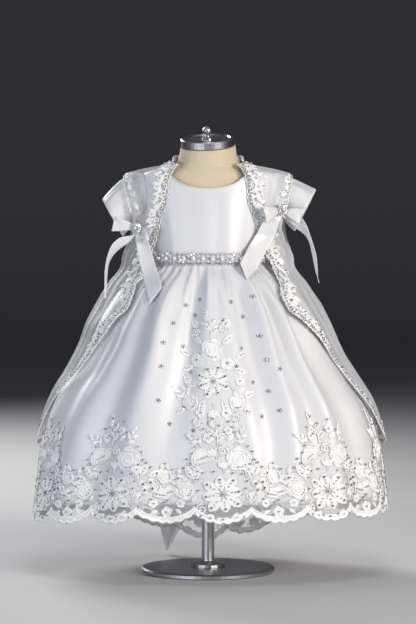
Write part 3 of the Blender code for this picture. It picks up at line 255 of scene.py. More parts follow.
# The beaded trim round the front of the waist and the sash round its back.
TRIM_LOW = 0.4403
TRIM_HIGH = 0.4585
TRIM_END_ANGLE = 96.0
BAND_EASE = 0.0023
BAND_GAP_ANGLE = 0.3
SASH_LOW = 0.4390
SASH_HIGH = 0.4640
SASH_KNOT = (0.0200, 0.0240, 0.0090)
SASH_KNOT_HEIGHT = 0.4500
SashLoop = namedtuple("SashLoop", "name reach rise width bulge lean")
SASH_LOOPS = (
    SashLoop("left", -0.060, -0.002, 0.034, 0.0060, 0),
    SashLoop("right", 0.063, -0.006, 0.034, 0.0060, 0),
)
# Both sash tails lie on the back of the skirt: the two edges of each, seen from the front.
TailRow = namedtuple("TailRow", "left_x left_z right_x right_z clear")
SASH_TAILS = {
    "left": (
        TailRow(-0.0095, 0.4300, -0.0010, 0.4300, 0.0045),
        TailRow(-0.0240, 0.4150, -0.0040, 0.4140, 0.0030),
        TailRow(-0.0360, 0.3900, -0.0070, 0.3880, 0.0020),
        TailRow(-0.0430, 0.3550, -0.0090, 0.3530, 0.0018),
        TailRow(-0.0480, 0.3100, -0.0120, 0.3080, 0.0018),
        TailRow(-0.0530, 0.2600, -0.0150, 0.2580, 0.0018),
        TailRow(-0.0570, 0.2000, -0.0180, 0.1980, 0.0024),
        TailRow(-0.0620, 0.1400, -0.0220, 0.1400, 0.0040),
        TailRow(-0.0660, 0.0850, -0.0260, 0.0900, 0.0040),
        TailRow(-0.0690, 0.0400, -0.0300, 0.0560, 0.0040),
        TailRow(-0.0610, 0.0060, -0.0580, 0.0060, 0.0040),
    ),
    "right": (
        TailRow(0.0010, 0.4300, 0.0095, 0.4300, 0.0045),
        TailRow(0.0040, 0.4140, 0.0230, 0.4150, 0.0030),
        TailRow(0.0070, 0.3880, 0.0330, 0.3900, 0.0020),
        TailRow(0.0080, 0.3530, 0.0400, 0.3550, 0.0018),
        TailRow(0.0090, 0.3080, 0.0430, 0.3100, 0.0018),
        TailRow(0.0100, 0.2580, 0.0450, 0.2600, 0.0018),
        TailRow(0.0110, 0.1980, 0.0470, 0.2000, 0.0024),
        TailRow(0.0130, 0.1400, 0.0485, 0.1400, 0.0031),
        TailRow(0.0150, 0.0850, 0.0495, 0.0850, 0.0031),
        TailRow(0.0170, 0.0660, 0.0500, 0.0500, 0.0031),
        TailRow(0.0455, 0.0310, 0.0480, 0.0310, 0.0031),
    ),
}

# Shoulder bows: where each knot lies on its half of the cape, as a row of CAPE_FRONT and a share of
# that row. Loops are given as seen from the front: how far out and up each goes, its width and how
# far its two layers stand apart, and the angle at which it leans away from the cloth.
Bow = namedtuple("Bow", "side name row share lift")
BOWS = (
    Bow(-1, "left", 7.05, 0.83, 0.0016),
    Bow(1, "right", 5.58, 0.83, 0.0022),
)
KNOT = (0.0110, 0.0100, 0.0048)
BOW_REACH = 0.1
BowLoop = namedtuple("BowLoop", "bow name reach rise width bulge lean")
BOW_LOOPS = (
    BowLoop("left", "outer", -0.031, 0.006, 0.022, 0.0045, 14),
    BowLoop("left", "inner", 0.023, -0.009, 0.019, 0.0045, 12),
    BowLoop("right", "inner", -0.030, -0.007, 0.023, 0.0045, 2),
    BowLoop("right", "outer", 0.024, -0.010, 0.025, 0.0045, 29),
)
LOOP_PINCH_SHARE = 0.75
LOOP_LAYER_SHARE = 0.85
LOOP_ROUNDNESS = 0.7
LOOP_SPRING = 0.9
# Ribbon tails of the shoulder bows. Each starts under its knot, between two places across it, and
# runs down through rows that give both its edges.
TailStart = namedtuple("TailStart", "bow name left right")
TAIL_STARTS = (
    TailStart("left", "tail_front", -0.0020, 0.0052),
    TailStart("left", "tail_outer", -0.0054, -0.0028),
    TailStart("right", "tail_front", -0.0054, 0.0012),
    TailStart("right", "tail_outer", 0.0022, 0.0054),
)
TAIL_DROP = 0.0045
TAIL_DEPTH_SHARE = 0.4
RibbonRow = namedtuple("RibbonRow", "left_x left_y left_z right_x right_y right_z")
BOW_TAILS = {
    "left_tail_front": (
        RibbonRow(-0.1015, -0.0427, 0.4760, -0.0860, -0.0481, 0.4780),
        RibbonRow(-0.0984, -0.0540, 0.4564, -0.0781, -0.0590, 0.4564),
        RibbonRow(-0.0935, -0.0600, 0.4330, -0.0715, -0.0670, 0.4330),
        RibbonRow(-0.0885, -0.0740, 0.4130, -0.0655, -0.0880, 0.4150),
        RibbonRow(-0.0810, -0.0990, 0.3870, -0.0638, -0.0925, 0.4100),
    ),
    "left_tail_outer": (
        RibbonRow(-0.1207, -0.0440, 0.4786, -0.1108, -0.0400, 0.4715),
        RibbonRow(-0.1320, -0.0460, 0.4700, -0.1250, -0.0360, 0.4615),
        RibbonRow(-0.1390, -0.0470, 0.4587, -0.1340, -0.0340, 0.4510),
        RibbonRow(-0.1450, -0.0470, 0.4417, -0.1385, -0.0320, 0.4380),
        RibbonRow(-0.1477, -0.0470, 0.4246, -0.1390, -0.0310, 0.4218),
        RibbonRow(-0.1478, -0.0470, 0.4070, -0.1400, -0.0330, 0.4060),
        RibbonRow(-0.1450, -0.0460, 0.3920, -0.1435, -0.0440, 0.3930),
    ),
    "right_tail_front": (
        RibbonRow(0.0810, -0.0520, 0.5060, 0.1000, -0.0470, 0.4990),
        RibbonRow(0.0700, -0.0530, 0.4870, 0.0930, -0.0470, 0.4800),
        RibbonRow(0.0600, -0.0590, 0.4710, 0.0830, -0.0530, 0.4630),
        RibbonRow(0.0505, -0.0715, 0.4540, 0.0665, -0.0700, 0.4325),
        RibbonRow(0.0444, -0.0760, 0.4430, 0.0540, -0.0880, 0.4207),
    ),
    "right_tail_outer": (
        RibbonRow(0.1160, -0.0335, 0.4980, 0.1190, -0.0362, 0.5060),
        RibbonRow(0.1245, -0.0310, 0.4900, 0.1275, -0.0390, 0.5080),
        RibbonRow(0.1335, -0.0290, 0.4830, 0.1380, -0.0400, 0.4970),
        RibbonRow(0.1400, -0.0290, 0.4755, 0.1440, -0.0420, 0.4800),
        RibbonRow(0.1440, -0.0290, 0.4660, 0.1480, -0.0450, 0.4670),
        RibbonRow(0.1455, -0.0320, 0.4500, 0.1540, -0.0470, 0.4490),
        RibbonRow(0.1480, -0.0350, 0.4320, 0.1570, -0.0480, 0.4250),
        RibbonRow(0.1550, -0.0440, 0.4150, 0.1560, -0.0460, 0.4140),
    ),
}

# ---------------------------------------------------------------- creases and gathers of the satin

# A crease runs down the skirt from one angle and height to another. Left and right are its half
# widths in degrees on its two sides, so a fold can lean over, and a rise below zero is a trough.
Crease = namedtuple("Crease", "top_angle top low_angle low left right rise")
CREASES = (
    Crease(-61, 0.436, -64, 0.200, 3.6, 3.4, 0.0024),
    Crease(-50, 0.434, -53, 0.160, 3.5, 8.0, -0.0056),
    Crease(-26, 0.436, -25, 0.140, 9.0, 3.6, 0.0078),
    Crease(-19, 0.438, -18, 0.330, 2.4, 3.0, -0.0018),
    Crease(-9, 0.436, -15, 0.140, 3.4, 6.0, -0.0060),
    Crease(-1, 0.438, -4, 0.200, 3.4, 3.4, 0.0026),
    Crease(6, 0.437, 5, 0.330, 2.4, 2.0, -0.0016),
    Crease(9, 0.438, 9, 0.180, 3.8, 3.0, 0.0022),
    Crease(18, 0.437, 17.5, 0.140, 3.6, 6.2, -0.0086),
    Crease(31, 0.436, 28, 0.130, 4.0, 3.6, 0.0044),
    Crease(37, 0.436, 38, 0.170, 3.0, 3.4, -0.0042),
    Crease(43, 0.434, 44, 0.110, 3.8, 1.6, 0.0046),
    Crease(50, 0.432, 50, 0.170, 1.6, 4.0, -0.0036),
    Crease(70, 0.432, 70, 0.200, 4.0, 3.0, 0.0020),
    Crease(-66, 0.432, -72, 0.240, 3.0, 4.0, -0.0022),
    Crease(-84, 0.432, -84, 0.220, 4.0, 3.0, 0.0022),
    Crease(86, 0.432, 90, 0.230, 3.0, 4.5, -0.0020),
    Crease(108, 0.434, 110, 0.200, 3.6, 2.4, 0.0024),
    Crease(123, 0.436, 122, 0.240, 2.2, 3.4, -0.0026),
    Crease(139, 0.435, 141, 0.170, 3.4, 2.2, 0.0028),
    Crease(153, 0.437, 155, 0.260, 2.4, 2.4, -0.0020),
    Crease(170, 0.436, 170, 0.160, 3.0, 2.6, 0.0022),
    Crease(186, 0.436, 185, 0.200, 2.6, 3.6, -0.0024),
    Crease(202, 0.437, 203, 0.150, 2.4, 3.2, 0.0026),
    Crease(217, 0.435, 219, 0.240, 3.2, 2.2, -0.0022),
    Crease(235, 0.436, 236, 0.180, 2.4, 3.8, 0.0026),
    Crease(251, 0.434, 250, 0.230, 4.0, 2.4, -0.0022),
    Crease(268, 0.433, 268, 0.200, 3.0, 4.0, 0.0020),
)
# Gathers under the waist, in turn round it: the step to each in degrees, how far it stands out and
# how far down it reaches.
Gather = namedtuple("Gather", "step rise reach")
GATHERS = (
    Gather(6.0, 0.0032, 0.078),
    Gather(8.5, 0.0020, 0.044),
    Gather(7.0, 0.0036, 0.100),
    Gather(9.5, 0.0024, 0.052),
    Gather(6.5, 0.0034, 0.084),
    Gather(10.0, 0.0019, 0.040),
    Gather(7.5, 0.0038, 0.112),
    Gather(8.0, 0.0022, 0.050),
)
GATHER_SPREAD = 1.9
GATHER_WIDENING = 0.3
GATHERS_STOP = 358
# The shares of its length over which a crease or a gather fades in at its top and out at its foot.
CREASE_FADES = (0.22, 0.75)
GATHER_FADES = (0.12, 0.80)
# Soft upright creases of the bodice: angle at the waist and under the neck, half width and rise.
BodiceCrease = namedtuple("BodiceCrease", "low_angle top_angle spread rise")
BODICE_CREASES = (
    BodiceCrease(-52, -60, 7.0, -0.0010),
    BodiceCrease(-34, -38, 6.0, 0.0008),
    BodiceCrease(-17, -20, 6.0, -0.0007),
    BodiceCrease(-4, -3, 5.0, 0.0005),
    BodiceCrease(9, 8, 5.0, -0.0007),
    BodiceCrease(22, 19, 6.0, 0.0008),
    BodiceCrease(38, 42, 6.0, -0.0009),
    BodiceCrease(56, 62, 7.0, 0.0009),
    BodiceCrease(120, 116, 9.0, -0.0009),
    BodiceCrease(150, 146, 7.0, 0.0008),
    BodiceCrease(206, 212, 7.0, -0.0008),
    BodiceCrease(236, 244, 9.0, 0.0009),
)

BODICE_CREASE_TOP = 0.560
BODICE_CREASE_FADE = 0.35

# ---------------------------------------------------------------- surfaces of the cloth


def unit(vectors):
    """The vectors at length 1."""
    return vectors / np.maximum(np.linalg.norm(vectors, axis=-1, keepdims=True), 1e-12)


def length_along(points):
    """How far along a path, or down each column of a grid, its points lie."""
    steps = np.linalg.norm(np.diff(points, axis=0), axis=-1)
    return np.concatenate([np.zeros_like(steps[:1]), np.cumsum(steps, axis=0)])


def flat_points(x, y):
    """Flat points at x and y, each spread to the shape of the other."""
    return np.stack(np.broadcast_arrays(x, y), axis=-1)


def polar(radius, turns):
    """Flat points at a radius from the origin, anticlockwise in radians from +X."""
    return flat_points(radius * np.cos(turns), radius * np.sin(turns))


def smooth_curve(x, y, places):
    """A smooth curve through the points (x, y) that never overshoots them, read at the places given."""
    x, y = np.asarray(x, float), np.asarray(y, float)
    step = np.diff(x)
    slope = np.diff(y) / step
    near, far = slope[:-1], slope[1:]
    weight_near = 2 * step[1:] + step[:-1]
    weight_far = step[1:] + 2 * step[:-1]
    same_way = near * far > 0
    safe_near = np.where(same_way, near, 1.0)
    safe_far = np.where(same_way, far, 1.0)
    inner = (weight_near + weight_far) / (weight_near / safe_near + weight_far / safe_far)
    tangent = np.concatenate([slope[:1], np.where(same_way, inner, 0.0), slope[-1:]])
    places = np.clip(places, x[0], x[-1])
    i = np.clip(np.searchsorted(x, places, side="right") - 1, 0, len(step) - 1)
    t = (places - x[i]) / step[i]
    start = (1 + 2 * t) * (1 - t) ** 2 * y[i] + t * (1 - t) ** 2 * step[i] * tangent[i]
    end = t**2 * (3 - 2 * t) * y[i + 1] - t**2 * (1 - t) * step[i] * tangent[i + 1]
    return start + end


def column_of(table, column, places):
    """One column of a table as a smooth curve through its rows."""
    rows = sorted(table, key=lambda row: row[0])
    return smooth_curve([row[0] for row in rows], [getattr(row, column) for row in rows], places)


def level_point(table, angles, heights, clear=0.0):
    """Points on the level sections of a table, moved out level by clear."""
    angles, heights, clear = np.broadcast_arrays(
        np.asarray(angles, float), np.asarray(heights, float), np.asarray(clear, float)
    )
    side = np.sin(np.radians(angles))
    ahead = np.cos(np.radians(angles))
    roundness = (abs(side) ** SQUARENESS + abs(ahead) ** SQUARENESS) ** (-1 / SQUARENESS)
    half_width = column_of(table, "half_width", heights)
    depth = np.where(ahead > 0, column_of(table, "front", heights), column_of(table, "back", heights))
    x = (half_width * roundness + clear) * side
    y = -(depth * roundness + clear) * ahead
    return np.stack([x, y, heights], axis=-1)


def smooth_step(share):
    share = np.clip(share, 0, 1)
    return share * share * (3 - 2 * share)


def turned_away(angles, middle):
    """Angles from a middle line, from -180 to 180."""
    return (angles - middle + 180) % 360 - 180


def fold_rise(angles, heights):
    """How far the skirt's folds stand out at the points given."""
    fall = np.clip((WAIST - heights) / (WAIST - HEM_LEVEL), 0, FALL_LIMIT)
    rise = np.zeros(np.shape(fall))
    for fold in FOLDS:
        away = turned_away(angles, fold.top + (fold.hem - fold.top) * fall)
        rise = rise + fold.rise * smooth_step(fall / fold.fade) * np.exp(-((away / fold.spread) ** 2))
    return rise


def crease_rise(angles, heights):
    """How far the creases and the gathers under the waist stand out."""
    rise = np.zeros(np.broadcast(angles, heights).shape)
    for crease in CREASES:
        fall = (crease.top - heights) / (crease.top - crease.low)
        away = turned_away(angles, crease.top_angle + (crease.low_angle - crease.top_angle) * fall)
        spread = np.where(away < 0, crease.left, crease.right)
        fade = smooth_step(fall / CREASE_FADES[0]) * smooth_step((1 - fall) / CREASE_FADES[1])
        rise += crease.rise * fade * np.exp(-((away / spread) ** 2))
    middle, number = 0.0, 0
    while middle < GATHERS_STOP:
        gather = GATHERS[number % len(GATHERS)]
        fall = (WAIST - heights) / gather.reach
        fade = smooth_step(fall / GATHER_FADES[0]) * smooth_step((1 - fall) / GATHER_FADES[1])
        spread = GATHER_SPREAD * (1 + GATHER_WIDENING * np.clip(fall, 0, 1))
        rise += gather.rise * fade * np.exp(-((turned_away(angles, middle) / spread) ** 2))
        middle += gather.step
        number += 1
    return rise


def gown_point(angles, heights, clear=0.0, fold_share=1.0):
    """Points on the gown's outer face, moved out level by clear."""
    angles, heights = np.broadcast_arrays(np.asarray(angles, float), np.asarray(heights, float))
    points = level_point(GOWN, angles, heights, clear + fold_share * fold_rise(angles, heights))
    points[..., 0] += column_of(GOWN, "shift", heights)
    return points


def skirt_point(angles, heights, clear=0.0):
    """Points on the skirt with its creases."""
    return gown_point(angles, heights, clear + crease_rise(angles, heights))


def bodice_point(angles, heights):
    """Points on the bodice with its soft creases, which fade out at the waist and the neck."""
    share = np.clip((heights - WAIST) / (BODICE_CREASE_TOP - WAIST), 0, 1)
    rise = np.zeros(np.shape(angles))
    for crease in BODICE_CREASES:
        away = turned_away(angles, crease.low_angle + (crease.top_angle - crease.low_angle) * share)
        rise += crease.rise * np.exp(-((away / crease.spread) ** 2))
    fade = smooth_step((1 - share) / BODICE_CREASE_FADE) * smooth_step(share / 0.1 + 0.3)
    return gown_point(angles, heights, rise * fade)


def surface_normal(points):
    """Normals of a grid of points, turned away from the gown's middle line."""
    normal = unit(np.cross(np.gradient(points, axis=1), np.gradient(points, axis=0)))
    outward = np.sum(normal * points * (1, 1, 0)) > 0
    return normal if outward else -normal


def gown_normal(angles, heights):
    """Outward normals of the gown's face."""
    turn, rise = 0.4, 0.0004
    across = gown_point(angles + turn, heights) - gown_point(angles - turn, heights)
    up = gown_point(angles, heights + rise) - gown_point(angles, heights - rise)
    return unit(np.cross(across, up))


# The share of the half width beyond which an angle isn't looked for.
WIDEST_SHARE = 0.98


def front_angle(x, heights):
    """The angle on the front of the gown at which its level section reaches x."""
    share = x / column_of(GOWN, "half_width", heights)
    return np.degrees(np.arcsin(np.clip(share, -WIDEST_SHARE, WIDEST_SHARE)))


def back_angle(x, heights):
    """The angle on the back of the gown at which its level section reaches x."""
    half_width = column_of(GOWN, "half_width", heights)
    angles = 180 - front_angle(x, heights)
    for _ in range(4):
        reached = gown_point(angles, heights, fold_share=0.0)[..., 0]
        angles = angles + np.degrees((reached - x) / half_width)
    return angles


def hem_height(angles):
    """Height of the satin hem, level in front and lower towards the centre back."""
    return column_of(HEM_EDGE, "height", turned_away(angles, 0))


# Levels of the bodice's side profile.
PROFILE = np.linspace(WAIST, GOWN[0].height, 600)


def side_length(heights):
    """Length along the bodice's side profile from the waist, at the heights given."""
    outline = flat_points(column_of(GOWN, "half_width", PROFILE), PROFILE)
    return np.interp(heights, PROFILE, length_along(outline))


def height_at(lengths):
    """The height on the side profile at each length along it."""
    return np.interp(lengths, side_length(PROFILE), PROFILE)


def armhole_angle(heights):
    """The angle at which a bodice panel ends: the side seam, or the edge of the armhole."""
    share = (heights - ARMHOLE_HEIGHT) / ARMHOLE_HALF_HEIGHT
    return 90 - ARMHOLE_HALF_ANGLE * np.sqrt(np.clip(1 - share**2, 0, 1))


def cape_front_places(rows, shares):
    """Angle, height and clearance at shares of the cape's front rows. Row numbers may lie between."""
    numbers = np.arange(len(CAPE_FRONT))

    def read(column):
        return smooth_curve(numbers, [getattr(row, column) for row in CAPE_FRONT], rows)[:, None]

    angles = read("in_angle") + (read("out_angle") - read("in_angle")) * shares
    heights = read("in_z") + (read("out_z") - read("in_z")) * shares
    clear = read("in_clear") + (read("out_clear") - read("in_clear")) * shares
    return angles, heights + read("crown") * np.sin(pi * shares), clear


def cape_front_points(side, rows, shares, lift=0.0):
    """Points on a front half of the cape, at row numbers and shares across them."""
    angles, heights, clear = cape_front_places(rows, shares)
    return gown_point(side * angles, heights, clear + lift, CAPE_FOLD_SHARE)


def cape_back_points(rows, across):
    """Points on the cape's back at row numbers and shares across it, left side edge to right."""
    joined = [
        CapeBackRow(front.out_angle, front.out_z, front.out_clear, centre.back_z, centre.back_clear)
        for front, centre in zip(CAPE_FRONT[JOIN_ROW:], CAPE_CENTRE)
    ]
    table = (*CAPE_SHOULDERS, *joined)
    numbers = np.arange(len(table))

    def read(column):
        return smooth_curve(numbers, [getattr(row, column) for row in table], rows)[:, None]

    to_back = np.sin(pi * across) ** CAPE_BACK_SPREAD
    wave = np.sin(2 * pi * CAPE_BACK_FOLDS * (across - 0.5)) * smooth_step(to_back * 2)
    fold = CAPE_FOLD_RISE * smooth_step((CAPE_FOLD_START - read("side_z")) / CAPE_FOLD_FADE)
    angles = read("side_angle") + (360 - 2 * read("side_angle")) * across
    heights = read("side_z") + (read("back_z") - read("side_z")) * to_back
    clear = read("side_clear") + (read("back_clear") - read("side_clear")) * to_back + fold * wave
    return gown_point(angles, heights, clear, CAPE_FOLD_SHARE)


# ---------------------------------------------------------------- making meshes


def new_piece(name, mesh, finish):
    """Makes a mesh one named piece in its finish that rides with the part."""
    mesh.materials.append(finish)
    piece = bpy.data.objects.new(name, mesh)
    bpy.context.scene.collection.objects.link(piece)
    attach(piece, "root")
    return piece


def add_piece(name, points, faces, finish, flat):
    """A smooth piece of cloth. Flat holds the cloth's own coordinates at its points."""
    mesh = bpy.data.meshes.new(name)
    mesh.from_pydata(points.tolist(), [], faces.tolist())
    corners = np.empty(len(mesh.loops), np.int32)
    mesh.loops.foreach_get("vertex_index", corners)
    mesh.uv_layers.new(name="cloth").data.foreach_set("uv", flat[corners].astype(np.float32).ravel())
    mesh.shade_smooth()
    return new_piece(name, mesh, finish)


def grid_faces(rows, columns, closed=False):
    """Four-sided faces between the points of a grid. A closed one joins its last column to its first."""
    at = np.arange(rows * columns).reshape(rows, columns)
    if closed:
        at = np.concatenate([at, at[:, :1]], axis=1)
    return np.stack([at[:-1, :-1], at[1:, :-1], at[1:, 1:], at[:-1, 1:]], axis=-1).reshape(-1, 4)


def flat_of(grid):
    """The cloth's own coordinates in metres: along each row from its middle, and down each column."""
    along = length_along(grid.transpose(1, 0, 2)).T
    return flat_points(along - along[:, -1:] / 2, -length_along(grid)).reshape(-1, 2)


def thicken(piece, name, thickness, offset):
    """Gives a sheet its thickness: behind its faces at an offset of -1, to both sides at 0."""
    solid = piece.modifiers.new(name, "SOLIDIFY")
    solid.thickness, solid.offset = thickness, offset


def cloth(name, grid, finish, thickness=0.0):
    """A sheet through a grid of points, rows by columns, facing away from the gown's middle line."""
    faces = grid_faces(*grid.shape[:2])
    points = grid.reshape(-1, 3)
    corners = points[faces]
    normal = np.cross(corners[:, 2] - corners[:, 0], corners[:, 3] - corners[:, 1])
    if np.sum(normal * corners.mean(axis=1) * (1, 1, 0)) < 0:
        faces = faces[:, ::-1]
    piece = add_piece(name, points, faces, finish, flat_of(grid))
    if thickness:
        thicken(piece, "cloth_thickness", thickness, -1)
    return piece


def stands_for(piece, slot, *nodes):
    """The piece replaces these CAD nodes, which are hidden. The slot is not used."""
    if nodes:
        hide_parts(*nodes)
    return piece


def node_sheet(node, stuff, grid, finish, slot, thickness=0.0):
    """A sheet that stands for a CAD node and is named after it and its stuff."""
    return stands_for(cloth(f"{node}_{stuff}", grid, finish, thickness), slot, node)


class MeshHeap:
    """Points and faces of many small things that become one piece."""

    def __init__(self):
        self.points, self.faces, self.count = [], [], 0

    def add(self, points, faces):
        points = np.asarray(points, float).reshape(-1, 3)
        self.faces += [tuple(corner + self.count for corner in face) for face in faces]
        self.points.append(points)
        self.count += len(points)

    def scatter(self, template, seats, ups, sizes, turns=None):
        """Copies of a template, each at its seat with +Z along its up, at its size."""
        shape, faces = template
        seats, ups = np.asarray(seats, float).reshape(-1, 3), np.asarray(ups, float).reshape(-1, 3)
        if not len(seats):
            return
        sizes = np.broadcast_to(np.asarray(sizes, float), len(seats))
        guide = np.where(np.abs(ups[:, 2:]) > 0.9, (0.0, 1.0, 0.0), (0.0, 0.0, 1.0))
        right = unit(np.cross(guide, ups))
        ahead = np.cross(ups, right)
        if turns is not None:
            c, s = np.cos(turns)[:, None], np.sin(turns)[:, None]
            right, ahead = right * c + ahead * s, ahead * c - right * s
        axes = np.stack([right, ahead, ups], axis=1)
        points = np.einsum("pk,nkj->npj", shape, axes) * sizes[:, None, None] + seats[:, None]
        starts = self.count + np.arange(len(seats)) * len(shape)
        for face in faces:
            self.faces += [tuple(start + corner for corner in face) for start in starts.tolist()]
        self.points.append(points.reshape(-1, 3))
        self.count += points.shape[0] * points.shape[1]

    def piece(self, name, finish, smooth=True):
        mesh = bpy.data.meshes.new(name)
        mesh.from_pydata(np.concatenate(self.points).tolist(), [], self.faces)
        if smooth:
            mesh.shade_smooth()
        return new_piece(name, mesh, finish)


CORD_SECTION = ((-0.5, 0.0), (-0.34, 0.8), (0.34, 0.8), (0.5, 0.0))


def add_cord(heap, points, normals, width, height):
    """A raised cord along a path on a surface, round on top and open where it lies on the cloth."""
    side = unit(np.cross(np.gradient(points, axis=0), normals))
    rings = [points + side * (across * width) + normals * (up * height) for across, up in CORD_SECTION]
    count = len(CORD_SECTION)
    last = (len(points) - 1) * count
    faces = [tuple(range(count))[::-1], tuple(range(last, last + count))]
    for row in range(len(points) - 1):
        for k in range(count - 1):
            here = row * count + k
            faces.append((here, here + 1, here + 1 + count, here + count))
    heap.add(np.stack(rings, axis=1), faces)


def ball(segments, rings):
    """A round bead of radius 1 that rests on its seat."""
    points, faces = [(0, 0, 0)], []
    for ring in range(1, rings):
        tilt = pi * ring / rings
        for k in range(segments):
            turn = 2 * pi * k / segments
            points.append((sin(tilt) * cos(turn), sin(tilt) * sin(turn), 1 - cos(tilt)))
    points.append((0, 0, 2))
    last = len(points) - 1
    for k in range(segments):
        beside = (k + 1) % segments
        faces.append((0, 1 + beside, 1 + k))
        faces.append((last, last - segments + k, last - segments + beside))
        for ring in range(rings - 2):
            low = 1 + ring * segments
            faces.append((low + k, low + beside, low + segments + beside, low + segments + k))
    return np.array(points, float), faces


def cut_stone():
    """A faceted stone of radius 1, with a flat table on an eight-sided crown."""
    points, faces = [], []
    for radius, height, shift in ((1.0, 0.0, 0.0), (1.0, 0.30, 0.0), (0.56, 0.80, 0.5)):
        for k in range(8):
            turn = 2 * pi * (k + shift) / 8
            points.append((radius * cos(turn), radius * sin(turn), height))
    for k in range(8):
        beside = (k + 1) % 8
        faces.append((k, beside, 8 + beside, 8 + k))
        faces.append((8 + k, 8 + beside, 16 + k))
        faces.append((8 + beside, 16 + beside, 16 + k))
    faces.append(tuple(range(16, 24)))
    faces.append(tuple(range(7, -1, -1)))
    return np.array(points, float), faces


def cup_sequin():
    """A cupped ring of radius 1 with a hole, like a sewn-on sequin."""
    points, faces = [], []
    for radius, height in ((0.30, 0.12), (1.0, 0.50), (0.80, 0.10)):
        for k in range(8):
            turn = 2 * pi * k / 8
            points.append((radius * cos(turn), radius * sin(turn), height))
    for ring in range(3):
        for k in range(8):
            beside = (k + 1) % 8
            low, high = ring * 8, (ring + 1) % 3 * 8
            faces.append((low + k, low + beside, high + beside, high + k))
    return np.array(points, float), faces


# The third template is the dark bead that paints the shade in a sequin's hole.
PEARL, SEED, SHADE_BEAD, STONE, SEQUIN = ball(10, 7), ball(6, 4), ball(6, 3), cut_stone(), cup_sequin()

# ---------------------------------------------------------------- needlework


def moved(points, x, y, turn=0.0):
    """Flat points turned about the origin, anticlockwise in degrees, and moved to (x, y)."""
    c, s = cos(radians(turn)), sin(radians(turn))
    return np.asarray(points, float) @ np.array(((c, s), (-s, c))) + (x, y)


def smooth_path(points, steps):
    """A curve through a few flat points, with steps points between each two."""
    points = np.asarray(points, float)
    padded = np.concatenate([2 * points[:1] - points[1:2], points, 2 * points[-1:] - points[-2:-1]])
    found = []
    for i in range(len(points) - 1):
        before, start, end, after = padded[i : i + 4]
        t = np.linspace(0, 1, steps, endpoint=False)[:, None]
        bend = (2 * before - 5 * start + 4 * end - after) * t**2
        twist = (3 * start - before - 3 * end + after) * t**3
        found.append((2 * start + (end - before) * t + bend + twist) / 2)
    return np.concatenate([*found, points[-1:]])


def petal_outline(length, width, belly, tip, steps=9):
    """A petal's edge that starts and ends at the origin and reaches up to its length."""
    t = (1 - np.cos(np.linspace(0, pi, steps))) / 2
    half = width / 2 * np.abs(np.sin(pi * t**belly)) ** tip
    right = flat_points(half, length * t)
    left = right[-2:0:-1] * (-1, 1)
    return np.concatenate([right, left])


class Surface:
    """A sheet's face over flat places x and y, read from a fine grid of its points, rows by columns."""

    def __init__(self, x, y, points):
        self.x, self.y, self.points = x, y, points
        self.normals = surface_normal(points)

    def read(self, flat):
        """The points and normals at flat places."""
        flat = np.asarray(flat, float).reshape(-1, 2)
        across = np.interp(flat[:, 0], self.x, np.arange(len(self.x)))
        up = np.interp(flat[:, 1], self.y, np.arange(len(self.y)))
        i = np.clip(up.astype(int), 0, len(self.y) - 2)
        j = np.clip(across.astype(int), 0, len(self.x) - 2)
        s, t = (up - i)[:, None], (across - j)[:, None]

        def between(grid):
            low = grid[i, j] * (1 - t) + grid[i, j + 1] * t
            high = grid[i + 1, j] * (1 - t) + grid[i + 1, j + 1] * t
            return low * (1 - s) + high * s

        return between(self.points), unit(between(self.normals))


def net_over(face, x, y, lift):
    """A grid of points over a surface at flat places, for a net that lies off it by lift."""
    flat = flat_points(x, y)
    points, normals = face.read(flat)
    return (points + normals * lift).reshape(*flat.shape[:2], 3)


def outward_of(path):
    """The unit direction away from the cloth at each point of a lace edge that runs along +X."""
    along = np.gradient(path, axis=0)
    return unit(flat_points(along[:, 1], -along[:, 0]))


# A padded patch: how far out its inner ring lies, and how much of the padding it has there.
PATCH_INNER = 0.62
PATCH_SWELL = 0.80
# The dark bead in a sequin's hole, whose dark colour is painted shade standing in for the shadow in the hole:
# its radius as a share of the sequin's, and how deep it sits.
SHADE_BEAD_SHARE = 0.58
SHADE_BEAD_DEPTH = 0.0001


